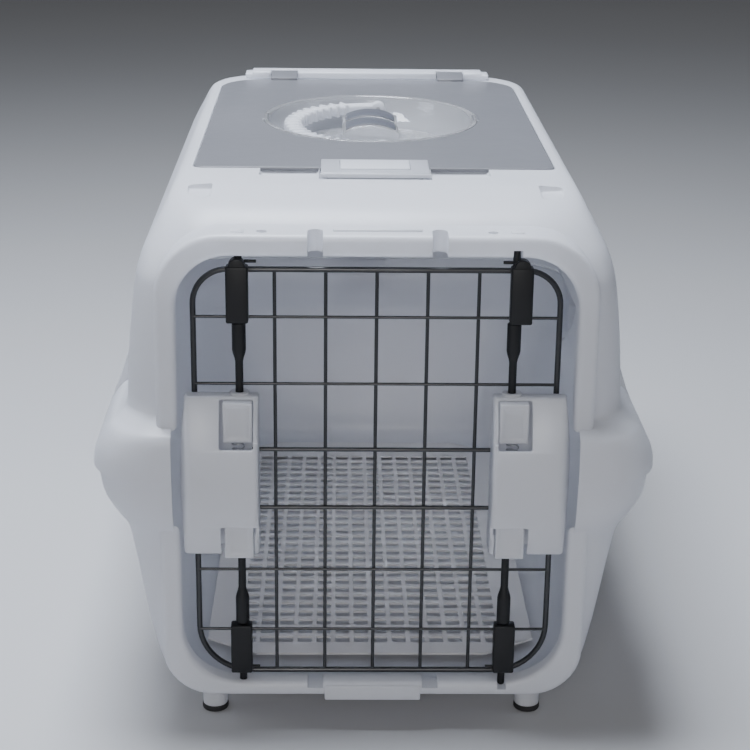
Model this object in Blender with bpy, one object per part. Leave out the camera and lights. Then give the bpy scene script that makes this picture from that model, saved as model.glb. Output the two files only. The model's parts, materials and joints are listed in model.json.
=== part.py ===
"""Pet transport carrier: two-part plastic shell, wire front door, hinged roof door with a carry handle.

Metres, +Z up. The front door faces -Y. The origin is on the ground under the middle of the carrier's box.
Depths (d) are measured backwards from the plane of the door's wires, which lies at y = DOOR_Y.
"""
import math

import bmesh
import bpy
from mathutils import Matrix, Vector

# ---- driving dimensions (metres) -------------------------------------------------------------------
DOOR_Y = -0.27365          # y of the door's wire plane
WALL = 0.003               # plastic shell thickness
GAP = 0.0003               # clearance left between touching pieces
FOOT_TOP = 0.0205          # underside of the tub
PAD_H = 0.0045             # rubber foot pad
FOOT_R = 0.009
FOOT_X = 0.1155
FOOT_D = (0.022, 0.440)    # depths of the front and rear feet
SEAM_Z = 0.197             # joint between tub and upper shell
ROOF_Z = 0.3853            # flat of the roof

# door frame ring (ledge above, sill below)
RING_D = (-0.012, 0.018)
RING_W = 0.150
RING_Z = (0.0275, 0.3695)
RING_R = 0.045
OPEN_W = 0.1355
OPEN_Z = (0.0385, 0.3545)
OPEN_R = 0.036

# front door
WIRE_D = 0.001
LOOP_W = 0.1243
LOOP_Z = (0.0421, 0.3430)
LOOP_R = 0.024
LOOP_WIRE = 0.0020
UPRIGHT_X = [k * 0.0345 for k in (-2, -1, 0, 1, 2)]
UPRIGHT_WIRE = 0.00125
RAILS = [(0.3098, 0.00105), (0.2620, 0.00105), (0.2138, 0.0015),
         (0.1702, 0.0015), (0.1225, 0.00105), (0.0754, 0.00105)]

# lock rods, guides and housings
ROD_X = 0.0930
ROD_D = -0.0045
PIN_R = 0.0026
ROD_R = 0.0027
ROD_FAT_R = 0.00475
HOLE_R = 0.0031
PIN_ENGAGE = 0.0045
GUIDE_W = 0.015
GUIDE_D = (-0.0110, -0.0013)
GUIDE_Z_TOP = (0.3080, 0.3475)
GUIDE_Z_LOW = (0.0455, 0.0830)
HOUSE_Z = (0.1405, 0.2565)
HOUSE_CROWN_Z = 0.1980     # height where the front stands out furthest
HOUSE_FRONT = -0.0280
HOUSE_FALL = (0.0140, 0.0160)      # how far the front falls back at the bottom and at the top
HOUSE_NARROW = (0.0018, 0.0045)    # how much the outer side is drawn in there
HOUSE_REAR = -0.0013
HOUSE_SWING_R = 0.0418     # the outer side stays inside this radius about the rod
HOUSE_WALL = 0.0022
BACK_LOWER = 0.0035        # the back plate stops this far under the cover's top
HOUSE_IN_X = 0.0800
KNOB_W = 0.020
KNOB_X = 0.0940
KNOB_FRONT = -0.0190
KNOB_TOP_Z = (0.2257, 0.2540)
KNOB_LOW_Z = (0.1396, 0.1704)
WEB_Z = (0.1985, 0.2005)

# roof door
PANEL_W = 0.1315
PANEL_D = (0.1210, 0.4965)
PANEL_Z = (0.3830, 0.3860)
PANEL_REAR_R = 0.042
ROOF_HINGE_D = 0.5070
ROOF_HINGE_Z = 0.3887
TAB_X = 0.0765
TAB_W = 0.024
RIDGE_W = 0.1125
RIDGE_D = (0.4995, 0.5215)
RIDGE_TOP = 0.3920
DISH_D = 0.3130
SADDLE_D = (0.2830, 0.3570)
SADDLE_Z = 0.3380          # centre of the saddle's arch
SADDLE_R = 0.0470
BAND_D = (0.2875, 0.3240)
BAND_LONG = 0.0285
DISH_A = 0.0885            # half width of the dish across the carrier
DISH_B = 0.1010            # half length of the dish along the carrier
HANDLE_X = 0.008           # the handle's pivot line
HANDLE_Z = 0.3775
HANDLE_REACH = 0.0720
HANDLE_HALF = 0.0855

# clips that join the shells
CLIP_W = 0.036
CLIP_D = (0.115, 0.425)
CLIP_PIN_X = 0.1935
CLIP_PIN_Z = 0.1605
CLIP_PIN_R = 0.0016
BACK_CLIP_D = 0.5660       # depth of the back clip's pin

# side vents
VENTS = 8
VENT_FIRST_D = 0.200
VENT_PITCH = 0.022
VENT_Z = (0.262, 0.312)

# shell sections: height, half width, front depth, rear depth, front and rear corner radius
TUB = [
    (0.0205, 0.1185, 0.0100, 0.4700, 0.030, 0.045),
    (0.0249, 0.1378, 0.0020, 0.4895, 0.030, 0.050),
    (0.0377, 0.1518, -0.0010, 0.5030, 0.030, 0.055),
    (0.0550, 0.1572, -0.0040, 0.5075, 0.030, 0.058),
    (0.1400, 0.1735, -0.0050, 0.5390, 0.034, 0.060),
    (0.1520, 0.1765, -0.0090, 0.5440, 0.036, 0.062),
    (0.1640, 0.1845, -0.0165, 0.5530, 0.042, 0.068),
    (0.1800, 0.1920, -0.0205, 0.5600, 0.044, 0.074),
    (SEAM_Z - GAP / 2, 0.1945, -0.0215, 0.5635, 0.045, 0.077),
]
LID = [
    (SEAM_Z + GAP / 2, 0.1975, -0.0230, 0.5665, 0.046, 0.079),
    (0.2050, 0.1970, -0.0230, 0.5660, 0.046, 0.079),
    (0.2180, 0.1920, -0.0225, 0.5610, 0.044, 0.075),
    (0.2280, 0.1850, -0.0205, 0.5550, 0.040, 0.068),
    (0.2330, 0.1790, -0.0130, 0.5505, 0.037, 0.063),
    (0.2400, 0.1740, -0.0040, 0.5470, 0.036, 0.060),
    (0.2800, 0.1712, -0.0035, 0.5450, 0.036, 0.059),
    (0.3300, 0.1655, -0.0020, 0.5430, 0.036, 0.058),
    (0.3450, 0.1615, 0.0020, 0.5425, 0.037, 0.058),
    (0.3560, 0.1565, 0.0070, 0.5415, 0.039, 0.058),
    (0.3700, 0.1488, 0.0185, 0.5385, 0.042, 0.056),
    (0.3790, 0.1440, 0.0360, 0.5330, 0.044, 0.054),
    (0.3835, 0.1405, 0.0560, 0.5275, 0.044, 0.052),
    (ROOF_Z, 0.1370, 0.0700, 0.5240, 0.044, 0.050),
]

# beside each clip the belt is set back and backed by a pad: outward distance and height
RECESS = [(0.2100, 0.1480), (0.1890, 0.1480), (0.1880, 0.1700), (0.1885, 0.2000), (0.1850, 0.2150),
          (0.1790, 0.2330), (0.1763, 0.2440), (0.2100, 0.2440)]
TUB_PAD = [(0.1850, 0.1700), (0.1878, 0.1700), (0.1915, 0.1830), (0.1925, SEAM_Z - GAP / 2),
           (0.1850, SEAM_Z - GAP / 2)]
LID_PAD = [(0.1850, SEAM_Z + GAP / 2), (0.1955, SEAM_Z + GAP / 2), (0.1955, 0.2050), (0.1900, 0.2180),
           (0.1830, 0.2280), (0.1770, 0.2330), (0.1730, 0.2400), (0.1700, 0.2400), (0.1740, 0.2300),
           (0.1800, 0.2180), (0.1850, 0.2050)]

# ---- start clean -----------------------------------------------------------------------------------
for old in list(bpy.data.objects):
    bpy.data.objects.remove(old, do_unlink=True)
for old in list(bpy.data.meshes):
    bpy.data.meshes.remove(old)


# ---- materials -------------------------------------------------------------------------------------
def plastic(name, colour, roughness, metallic=0.0, transmission=0.0):
    """One Principled material; a piece's look is colour, roughness and metallic."""
    mat = bpy.data.materials.new(name)
    mat.use_nodes = True
    shader = mat.node_tree.nodes["Principled BSDF"]
    shader.inputs["Base Color"].default_value = (*colour, 1.0)
    shader.inputs["Roughness"].default_value = roughness
    shader.inputs["Metallic"].default_value = metallic
    shader.inputs["Transmission Weight"].default_value = transmission
    mat.diffuse_color = (*colour, 1.0)
    return mat


FINISH = {
    "shell": ((0.80, 0.82, 0.88), 0.42, 0.0),
    "mat": ((0.78, 0.77, 0.77), 0.55, 0.0),
    "rubber": ((0.02, 0.02, 0.025), 0.80, 0.0),
    "wire": ((0.012, 0.013, 0.015), 0.38, 0.0),
    "black": ((0.015, 0.016, 0.018), 0.50, 0.0),
    "smoke": ((0.36, 0.37, 0.40), 0.35, 0.0),
    "clear": ((0.72, 0.73, 0.76), 0.10, 0.0),
    "band": ((0.20, 0.21, 0.24), 0.40, 0.0),
    "steel": ((0.60, 0.60, 0.62), 0.30, 1.0),
}


def own_material(obj, finish):
    colour, roughness, metallic = FINISH[finish]
    transmission = 0.8 if finish == "clear" else 0.0
    obj.data.materials.append(plastic(obj.name + "_" + finish, colour, roughness, metallic, transmission))


# ---- mesh helpers ----------------------------------------------------------------------------------
def place(name, bm, finish=None, parent=None, origin=(0.0, 0.0, 0.0)):
    """Turn a bmesh drawn in world coordinates into an object whose origin lies at origin."""
    bmesh.ops.recalc_face_normals(bm, faces=bm.faces)
    bmesh.ops.translate(bm, verts=bm.verts, vec=-Vector(origin))
    mesh = bpy.data.meshes.new(name)
    bm.to_mesh(mesh)
    bm.free()
    obj = bpy.data.objects.new(name, mesh)
    bpy.context.collection.objects.link(obj)
    obj.location = origin
    if parent:
        obj.parent = parent
        obj.matrix_parent_inverse = Matrix.Translation(parent.location).inverted()
    if finish:
        own_material(obj, finish)
        mesh.shade_smooth()
        mesh.set_sharp_from_angle(angle=math.radians(35))
    return obj


def pivot(name, at):
    """An empty on a joint's axis; a moving piece is parented to it."""
    empty = bpy.data.objects.new(name, None)
    empty.location = at
    bpy.context.collection.objects.link(empty)
    return empty


def combine(target, tool_bm, operation="DIFFERENCE"):
    """Cut or join target with a hidden tool, by an exact Boolean."""
    tool = place(target.name + "_tool_%02d" % len(target.modifiers), tool_bm)
    tool.hide_render = True
    tool.display_type = "WIRE"
    step = target.modifiers.new(operation.title(), "BOOLEAN")
    step.operation = operation
    step.solver = "EXACT"
    step.object = tool


def arc(cx, cy, radius, start, stop, steps):
    """Points on a circle from start to stop degrees."""
    points = []
    for i in range(steps + 1):
        a = math.radians(start + (stop - start) * i / steps)
        points.append((cx + radius * math.cos(a), cy + radius * math.sin(a)))
    return points


def rounded_box(x0, x1, y0, y1, radii, steps):
    """Outline with its own radius at each corner: lower left, lower right, upper right, upper left."""
    a, b, c, d = radii
    return (arc(x0 + a, y0 + a, a, 180, 270, steps) + arc(x1 - b, y0 + b, b, 270, 360, steps)
            + arc(x1 - c, y1 - c, c, 0, 90, steps) + arc(x0 + d, y1 - d, d, 90, 180, steps))


def rings(sections):
    """A closed solid through rings that have the same number of points."""
    bm = bmesh.new()
    loops = [[bm.verts.new(p) for p in ring] for ring in sections]
    for low, high in zip(loops, loops[1:]):
        for i in range(len(low)):
            j = (i + 1) % len(low)
            bm.faces.new((low[i], low[j], high[j], high[i]))
    bm.faces.new(reversed(loops[0]))
    bm.faces.new(loops[-1])
    return bm


def prism(outline, axis, low, high):
    """An outline pushed along x, y or z. The outline is (y, z), (x, z) or (x, y)."""
    def point(p, h):
        if axis == "x":
            return (h, p[0], p[1])
        if axis == "y":
            return (p[0], h, p[1])
        return (p[0], p[1], h)
    bm = bmesh.new()
    face = bm.faces.new([bm.verts.new(point(p, low)) for p in outline])
    moved = bmesh.ops.extrude_face_region(bm, geom=[face])["geom"]
    step = Vector(point((0.0, 0.0), high - low))
    bmesh.ops.translate(bm, verts=[v for v in moved if isinstance(v, bmesh.types.BMVert)], vec=step)
    return bm


def box(x0, x1, d0, d1, z0, z1):
    """A box given by its depths behind the door plane."""
    outline = [(x0, DOOR_Y + d0), (x1, DOOR_Y + d0), (x1, DOOR_Y + d1), (x0, DOOR_Y + d1)]
    return prism(outline, "z", z0, z1)


def rod(axis, low, high, centre, radius, sides=12):
    """A round bar along x, y or z; centre is the pair of the other two coordinates."""
    return prism(arc(centre[0], centre[1], radius, 0, 360 - 360 / sides, sides - 1), axis, low, high)


def merged(parts):
    """Several bmeshes in one."""
    bm = bmesh.new()
    for part in parts:
        mesh = bpy.data.meshes.new("part")
        part.to_mesh(mesh)
        part.free()
        bm.from_mesh(mesh)
        bpy.data.meshes.remove(mesh)
    return bm


# ---- the two shells --------------------------------------------------------------------------------
def plan_ring(z, half, front, rear, r_front, r_rear):
    outline = rounded_box(-half, half, DOOR_Y + front, DOOR_Y + rear, (r_front, r_front, r_rear, r_rear), 5)
    return [(x, y, z) for x, y in outline]


def inner(sections, floor=None, ceiling=None):
    """The hollow of a shell: every section drawn in by the wall."""
    result = []
    for z, half, front, rear, r_front, r_rear in sections:
        result.append([z, half - WALL, front + WALL, rear - WALL, r_front - WALL, r_rear - WALL])
    if floor is not None:
        result[0][0] = floor
        result[1][0] += WALL / 2
        result[-1][0] += 0.004
    if ceiling is not None:
        result = [s for s in result if s[0] < ceiling - 0.002]
        half, front, rear, r_front, r_rear = result[-1][1:]
        result.append([ceiling, half - 0.014, front + 0.022, rear - 0.008, r_front, r_rear])
        result[0][0] -= 0.004
    return result


def ring_outline(outer=True):
    if outer:
        return rounded_box(-RING_W, RING_W, RING_Z[0], RING_Z[1], (0.036, 0.036, RING_R, RING_R), 5)
    return rounded_box(-OPEN_W, OPEN_W, OPEN_Z[0], OPEN_Z[1], (0.042, 0.042, OPEN_R, OPEN_R), 5)


def half_ring(z0, z1):
    """The part of the door frame between two heights, as a solid plate."""
    outline = []
    for x, z in ring_outline():
        z = min(max(z, z0), z1)
        if not outline or (abs(outline[-1][0] - x) > 1e-6 or abs(outline[-1][1] - z) > 1e-6):
            outline.append((x, z))
    clean = []
    for i, p in enumerate(outline):
        before, after = outline[i - 1], outline[(i + 1) % len(outline)]
        flat = abs(p[1] - before[1]) < 1e-6 and abs(p[1] - after[1]) < 1e-6
        if not flat:
            clean.append(p)
    return prism(clean, "y", DOOR_Y + RING_D[0], DOOR_Y + RING_D[1])


def pin_hole(x, z0, z1, open_front):
    """Where a bolt enters the frame. The latch side is open towards the front."""
    sides = arc(x, DOOR_Y + ROD_D, HOLE_R, 0, 180, 4)
    front = DOOR_Y + (RING_D[0] - 0.003 if open_front else ROD_D)
    if open_front:
        outline = sides + [(x - HOLE_R, front), (x + HOLE_R, front)]
    else:
        outline = arc(x, DOOR_Y + ROD_D, HOLE_R, 0, 315, 7)
    return prism(outline, "z", z0, z1)


def clip_frames():
    """For each clip, a function that turns (outward, along, height) into a world point."""
    frames = {}
    for side, tag in ((-1, "left"), (1, "right")):
        for d, where in zip(CLIP_D, ("front", "rear")):
            frames["clip_%s_%s" % (tag, where)] = lambda o, s, z, side=side, d=d: (side * o, DOOR_Y + d + s,
                                                                                   z)
    frames["clip_back"] = lambda o, s, z: (s, DOOR_Y + BACK_CLIP_D - CLIP_PIN_X + o, z)
    return frames


def beside_clips(outline, half):
    """The same outline swept along the belt at every clip."""
    parts = []
    for frame in clip_frames().values():
        bm = rings([[frame(o, s, z) for o, z in outline] for s in (-half, half)])
        parts.append(bm)
    return merged(parts)


def make_tub():
    tub = place("lower_shell", rings([plan_ring(*s) for s in TUB]), "shell")
    combine(tub, half_ring(0.0, SEAM_Z - GAP / 2), "UNION")
    combine(tub, rings([plan_ring(*s) for s in inner(TUB, floor=FOOT_TOP + WALL)]))
    combine(tub, prism(ring_outline(outer=False), "y", DOOR_Y - 0.03, DOOR_Y + 0.030))
    feet = []
    for x in (-FOOT_X, FOOT_X):
        for d in FOOT_D:
            feet.append(rod("z", PAD_H + GAP, FOOT_TOP + WALL / 2, (x, DOOR_Y + d), FOOT_R, 12))
    combine(tub, merged(feet), "UNION")
    combine(tub, beside_clips(TUB_PAD, CLIP_W / 2 + 0.0030), "UNION")
    combine(tub, beside_clips(RECESS, CLIP_W / 2 + 0.0010))
    lugs = []
    for side in (-1, 1):
        for d in CLIP_D:
            for end in (-1, 1):
                y = DOOR_Y + d + end * (CLIP_W / 2 + 0.0025)
                x0, x1 = sorted((side * 0.1800, side * 0.1975))
                lugs.append(prism([(x0, y - 0.002), (x1, y - 0.002), (x1, y + 0.002), (x0, y + 0.002)],
                                  "z", 0.1560, 0.1660))
    rear = BACK_CLIP_D - 0.0100
    for end in (-1, 1):
        x = end * (CLIP_W / 2 + 0.0025)
        lugs.append(box(x - 0.002, x + 0.002, rear - 0.0035, rear + 0.0130, 0.1560, 0.1660))
    combine(tub, merged(lugs), "UNION")
    pins = []
    for side in (-1, 1):
        for d in CLIP_D:
            pins.append(rod("y", DOOR_Y + d - CLIP_W / 2 - 0.0036, DOOR_Y + d + CLIP_W / 2 + 0.0036,
                            (side * CLIP_PIN_X, CLIP_PIN_Z), CLIP_PIN_R + GAP, 8))
    pins.append(rod("x", -CLIP_W / 2 - 0.0036, CLIP_W / 2 + 0.0036, (DOOR_Y + BACK_CLIP_D, CLIP_PIN_Z),
                    CLIP_PIN_R + GAP, 8))
    combine(tub, merged(pins))
    holes = [pin_hole(-ROD_X, OPEN_Z[0] - PIN_ENGAGE - 0.001, OPEN_Z[0] + 0.002, False),
             pin_hole(ROD_X, OPEN_Z[0] - PIN_ENGAGE - 0.001, OPEN_Z[0] + 0.002, True)]
    combine(tub, merged(holes))
    return tub


def panel_outline(grow=0.0):
    rear = PANEL_REAR_R + grow
    front = max(0.006 + grow, 0.002)
    return rounded_box(-PANEL_W - grow, PANEL_W + grow, DOOR_Y + PANEL_D[0] - grow,
                       DOOR_Y + PANEL_D[1] + grow,
                       (front, front, rear, rear), 5)


def make_lid():
    lid = place("upper_shell", rings([plan_ring(*s) for s in LID]), "shell")
    combine(lid, half_ring(SEAM_Z + GAP / 2, 1.0), "UNION")
    combine(lid, rings([plan_ring(*s) for s in inner(LID, ceiling=0.3790)]))
    combine(lid, prism(ring_outline(outer=False), "y", DOOR_Y - 0.03, DOOR_Y + 0.030))
    combine(lid, beside_clips(LID_PAD, CLIP_W / 2 + 0.0030), "UNION")
    combine(lid, beside_clips(RECESS, CLIP_W / 2 + 0.0010))
    combine(lid, prism(panel_outline(-0.009), "z", 0.35, 0.40))
    combine(lid, prism(panel_outline(0.0008), "z", PANEL_Z[0] - GAP, 0.40))
    pockets = [box(-0.0400, 0.0400, 0.0865, 0.1230, 0.3812, 0.40)]
    for side in (-1, 1):
        x0, x1 = sorted((side * 0.0410, side * 0.0830))
        pockets.append(box(x0, x1, 0.0965, 0.1230, 0.3812, 0.40))
    combine(lid, merged(pockets))
    holes = [pin_hole(-ROD_X, OPEN_Z[1] - 0.002, OPEN_Z[1] + PIN_ENGAGE + 0.001, False),
             pin_hole(ROD_X, OPEN_Z[1] - 0.002, OPEN_Z[1] + PIN_ENGAGE + 0.001, True)]
    combine(lid, merged(holes))
    slots = []
    for k in range(VENTS):
        y = DOOR_Y + VENT_FIRST_D + k * VENT_PITCH
        outline = rounded_box(y - 0.0035, y + 0.0035, *VENT_Z, (0.0034,) * 4, 2)
        slots.append(prism(outline, "x", -0.22, 0.22))
    combine(lid, merged(slots))
    return lid


make_tub()
make_lid()


# ---- floor mat and feet ----------------------------------------------------------------------------
def make_mat():
    top = prism(rounded_box(-0.1245, 0.1245, DOOR_Y + 0.050, DOOR_Y + 0.476, (0.026,) * 4, 5), "z", 0.0272,
                0.0300)
    mat = place("floor_mat", top, "mat")
    lower = prism(rounded_box(-0.1080, 0.1080, DOOR_Y + 0.062, DOOR_Y + 0.455, (0.03,) * 4, 3),
                  "z", FOOT_TOP + WALL + GAP, 0.0280)
    combine(mat, lower, "UNION")


make_mat()
for k, (x, d) in enumerate([(-FOOT_X, FOOT_D[0]), (FOOT_X, FOOT_D[0]), (-FOOT_X, FOOT_D[1]),
                            (FOOT_X, FOOT_D[1])]):
    pad = rod("z", 0.0, PAD_H, (x, DOOR_Y + d), FOOT_R + 0.0005, 16)
    place("foot_pad_%d" % (k + 1), pad, "rubber", origin=(x, DOOR_Y + d, 0.0))


# ---- clips -----------------------------------------------------------------------------------------
def clip_profile():
    """Outward distance and height: a barrel round the pin, a bowed plate, and a hook over the shelf."""
    barrel = arc(CLIP_PIN_X, CLIP_PIN_Z, 0.0042, 200, 330, 5)
    outside = [(0.2000, 0.1650), (0.2022, 0.1740), (0.2028, 0.1860), (0.2000, 0.1990), (0.1950, 0.2110),
               (0.1895, 0.2245), (0.1835, 0.2420), (0.1800, 0.2535), (0.1778, 0.2560)]
    inside = [(0.1758, 0.2540), (0.1775, 0.2440), (0.1805, 0.2330), (0.1856, 0.2190), (0.1912, 0.2060),
              (0.1966, 0.1940), (0.1990, 0.1850), (0.1990, 0.1760), (0.1970, 0.1690), (0.1905, 0.1640)]
    return barrel + outside + inside


def make_clip(name, frame):
    """frame turns (outward, along, height) into a world point."""
    half = CLIP_W / 2
    bm = bmesh.new()
    face = bm.faces.new([bm.verts.new(frame(o, -half, z)) for o, z in clip_profile()])
    moved = bmesh.ops.extrude_face_region(bm, geom=[face])["geom"]
    step = Vector(frame(0.0, half, 0.0)) - Vector(frame(0.0, -half, 0.0))
    bmesh.ops.translate(bm, verts=[v for v in moved if isinstance(v, bmesh.types.BMVert)], vec=step)
    axis_point = frame(CLIP_PIN_X, 0.0, CLIP_PIN_Z)
    hinge = pivot(name + "_pivot", axis_point)
    clip = place(name, bm, "shell", hinge, axis_point)
    for tag, long, radius, finish in (("hole", half + 0.002, CLIP_PIN_R + GAP, None),
                                      ("pin", half + 0.0034, CLIP_PIN_R, "steel")):
        ring = []
        for i in range(8):
            a = math.radians(45 * i)
            ring.append((CLIP_PIN_X + radius * math.cos(a), CLIP_PIN_Z + radius * math.sin(a)))
        tool = rings([[frame(o, s, z) for o, z in ring] for s in (-long, long)])
        if finish is None:
            combine(clip, tool)
        else:
            place(name.replace("clip", "clip_pin"), tool, finish, origin=axis_point)


for clip_name, clip_frame in clip_frames().items():
    make_clip(clip_name, clip_frame)


# ---- front door ------------------------------------------------------------------------------------
def tube(path, radius, sides, closed):
    """A bar of round section along a path in the door plane (x, z)."""
    points = [Vector((x, DOOR_Y + WIRE_D, z)) for x, z in path]
    count = len(points)
    sections = []
    for i, p in enumerate(points):
        if closed:
            ahead, behind = points[(i + 1) % count], points[i - 1]
        else:
            ahead, behind = points[min(i + 1, count - 1)], points[max(i - 1, 0)]
        along = (ahead - behind).normalized()
        across = Vector((0, 1, 0)).cross(along)
        stretch = 1.0
        if 0 < i < count - 1 or closed:
            stretch = 1.0 / max(along.dot((ahead - p).normalized()), 0.5)
        ring = []
        for k in range(sides):
            a = 2 * math.pi * (k + 0.5) / sides
            ring.append(p + Vector((0, 1, 0)) * radius * math.cos(a) + across * radius * stretch * math.sin(a))
        sections.append(ring)
    bm = bmesh.new()
    loops = [[bm.verts.new(v) for v in ring] for ring in sections]
    pairs = list(zip(loops, loops[1:]))
    if closed:
        pairs.append((loops[-1], loops[0]))
    for low, high in pairs:
        for k in range(sides):
            n = (k + 1) % sides
            bm.faces.new((low[k], low[n], high[n], high[k]))
    if not closed:
        bm.faces.new(reversed(loops[0]))
        bm.faces.new(loops[-1])
    return bm


def make_grille(parent, origin):
    outline = rounded_box(-LOOP_W, LOOP_W, LOOP_Z[0], LOOP_Z[1], (0.036, 0.036, LOOP_R, LOOP_R), 5)
    grille = place("door_grille", tube(outline, LOOP_WIRE, 8, True), "wire", parent, origin)
    uprights = [tube([(x, LOOP_Z[0]), (x, LOOP_Z[1])], UPRIGHT_WIRE, 6, False) for x in UPRIGHT_X]
    combine(grille, merged(uprights), "UNION")
    rails = [tube([(-LOOP_W, z), (LOOP_W, z)], r, 6, False) for z, r in RAILS]
    combine(grille, merged(rails), "UNION")


def housing_bulge(z):
    """Depth of a housing's front at a height, and how much its outer side is drawn in there."""
    end = 1 if z > HOUSE_CROWN_Z else 0
    away = ((z - HOUSE_CROWN_Z) / (HOUSE_Z[end] - HOUSE_CROWN_Z)) ** 2
    return HOUSE_FRONT + HOUSE_FALL[end] * away, HOUSE_NARROW[end] * away


def housing_outline(side, z):
    """Plan of a lock housing at a height: its outer side is an arc about the rod, so it clears the jamb."""
    depth, drawn_in = housing_bulge(z)
    reach = HOUSE_SWING_R - drawn_in
    rear = HOUSE_REAR - ROD_D
    front = depth - ROD_D
    start = 180 - math.degrees(math.asin(rear / reach))
    stop = 180 + math.degrees(math.asin(-front / reach))
    plan = arc(0.0, 0.0, reach, start, stop, 5)
    inner_x = ROD_X - HOUSE_IN_X
    plan += arc(inner_x - 0.003, front + 0.003, 0.003, 270, 360, 3)
    plan.append((inner_x, rear))
    return [(side * (ROD_X - x), DOOR_Y + ROD_D + y, z) for x, y in plan]


def heights(low, high, steps):
    return [low + (high - low) * k / steps for k in range(steps + 1)]


def housing_room(x0, x1, z0, z1):
    """The hollow behind a stretch of a housing's front."""
    profile = [(DOOR_Y + housing_bulge(z)[0] + HOUSE_WALL, z) for z in heights(z0, z1, 4)]
    profile += [(DOOR_Y + HOUSE_REAR + 0.002, z1), (DOOR_Y + HOUSE_REAR + 0.002, z0)]
    return prism(profile, "x", x0, x1)


def make_housing(tag, side, parent, origin):
    levels = [housing_outline(side, z) for z in heights(*HOUSE_Z, 10)]
    cover = place("lock_cover_" + tag, rings(levels), "shell", parent, origin)

    def span(a, b):
        return sorted((side * a, side * b))
    x0, x1 = span(0.1235, 0.0822)
    cavity = [housing_room(x0, x1, WEB_Z[1], HOUSE_Z[1] - HOUSE_WALL),
              housing_room(x0, x1, HOUSE_Z[0] + HOUSE_WALL, WEB_Z[0])]
    combine(cover, merged(cavity))
    x0, x1 = span(KNOB_X + KNOB_W / 2 + 0.0025, KNOB_X - KNOB_W / 2 - 0.0010)
    windows = [box(x0, x1, HOUSE_FRONT - 0.002, -0.0100, KNOB_TOP_Z[0] - 0.0035, KNOB_TOP_Z[1] + 0.0008),
               box(x0, x1, HOUSE_FRONT - 0.002, HOUSE_REAR + 0.002, HOUSE_Z[0] - 0.002,
                   KNOB_LOW_Z[1] - 0.0059)]
    combine(cover, merged(windows))
    top_hole = rod("z", HOUSE_Z[1] - 0.004, HOUSE_Z[1] + 0.002, (side * ROD_X, DOOR_Y + ROD_D),
                   ROD_R + 0.0006, 8)
    combine(cover, top_hole)
    x0, x1 = span(0.1325, HOUSE_IN_X)
    back = box(x0, x1, 0.0033, 0.0055, HOUSE_Z[0], HOUSE_Z[1] - BACK_LOWER)
    place("lock_back_" + tag, back, "shell", parent, origin)
    for k, z in enumerate((HOUSE_Z[0] + 0.012, HOUSE_Z[1] - 0.012)):
        head = rod("y", DOOR_Y + 0.0058, DOOR_Y + 0.0076, (side * 0.1080, z), 0.003, 10)
        place("lock_screw_%s_%d" % (tag, k + 1), head, "steel", parent, origin)


def coil(x, d, z0, z1, radius, wire, turns):
    """A compression spring that stands along z."""
    steps, sides = 8 * turns, 4
    sections = []
    for i in range(steps + 1):
        a = 2 * math.pi * i / 8
        out = Vector((math.cos(a), math.sin(a), 0.0))
        z = z0 + wire + (z1 - z0 - 2 * wire) * i / steps
        ring = []
        for k in range(sides):
            b = 2 * math.pi * k / sides
            ring.append(Vector((x, DOOR_Y + d, z)) + out * (radius + wire * math.cos(b))
                        + Vector((0, 0, wire * math.sin(b))))
        sections.append(ring)
    return rings(sections)


def make_bolt(tag, side, up, door):
    """A knob, its rod with a fat stretch and a pin, the spring behind it and the guide on the wires."""
    knob_z = KNOB_TOP_Z if up else KNOB_LOW_Z
    guide_z = GUIDE_Z_TOP if up else GUIDE_Z_LOW
    x, y = side * ROD_X, DOOR_Y + ROD_D
    if up:
        tip, knob_end, shoulder = OPEN_Z[1] + PIN_ENGAGE, knob_z[1], guide_z[0] - GAP
        sign = -1
    else:
        tip, knob_end, shoulder = OPEN_Z[0] - PIN_ENGAGE, knob_z[0], guide_z[1] + GAP
        sign = 1
    slide = pivot("bolt_%s_pivot" % tag, (x, y, knob_end))
    at = tuple(slide.location)
    turned = [(tip, PIN_R * 0.7), (tip + sign * 0.0015, PIN_R), (shoulder, PIN_R),
              (shoulder + sign * 0.0002, ROD_FAT_R), (shoulder + sign * 0.0200, ROD_FAT_R),
              (shoulder + sign * 0.0270, ROD_R), (knob_end - sign * GAP, ROD_R)]
    sections = [[(px, py, z) for px, py in arc(x, y, r, 0, 330, 11)] for z, r in turned]
    place("lock_rod_" + tag, rings(sections), "black", slide, at)
    x0, x1 = sorted((side * (KNOB_X - KNOB_W / 2), side * (KNOB_X + KNOB_W / 2)))
    outline = rounded_box(x0, x1, DOOR_Y + KNOB_FRONT, DOOR_Y - 0.0018, (0.002, 0.002, 0.0008, 0.0008), 2)
    place("knob_" + tag, prism(outline, "z", *knob_z), "shell", slide, at)
    offset = side * (0.0038 if (up and side > 0) else 0.0008)
    grip = rounded_box(x + offset - GUIDE_W / 2, x + offset + GUIDE_W / 2, DOOR_Y + GUIDE_D[0],
                       DOOR_Y + GUIDE_D[1],
                       (0.002, 0.002, 0.0005, 0.0005), 2)
    guide = place("rod_guide_" + tag, prism(grip, "z", *guide_z), "black", door, tuple(door.location))
    combine(guide, rod("z", guide_z[0] - 0.002, guide_z[1] + 0.002, (x, y), PIN_R + 0.0004, 10))
    ends = (WEB_Z[1] + GAP, knob_z[0] - GAP) if up else (knob_z[1] + GAP, WEB_Z[0] - GAP)
    spring = coil(side * KNOB_X, -0.0125, ends[0], ends[1], 0.0042, 0.0005, 5)
    place("bolt_spring_" + tag, spring, "steel", door, tuple(door.location))


front_hinge = pivot("door_pivot", (-ROD_X, DOOR_Y + ROD_D, OPEN_Z[0]))
hinge_at = tuple(front_hinge.location)
make_grille(front_hinge, hinge_at)
for side, tag in ((-1, "left"), (1, "right")):
    make_housing(tag, side, front_hinge, hinge_at)
    make_bolt(tag + "_upper", side, True, front_hinge)
    make_bolt(tag + "_lower", side, False, front_hinge)


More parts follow.
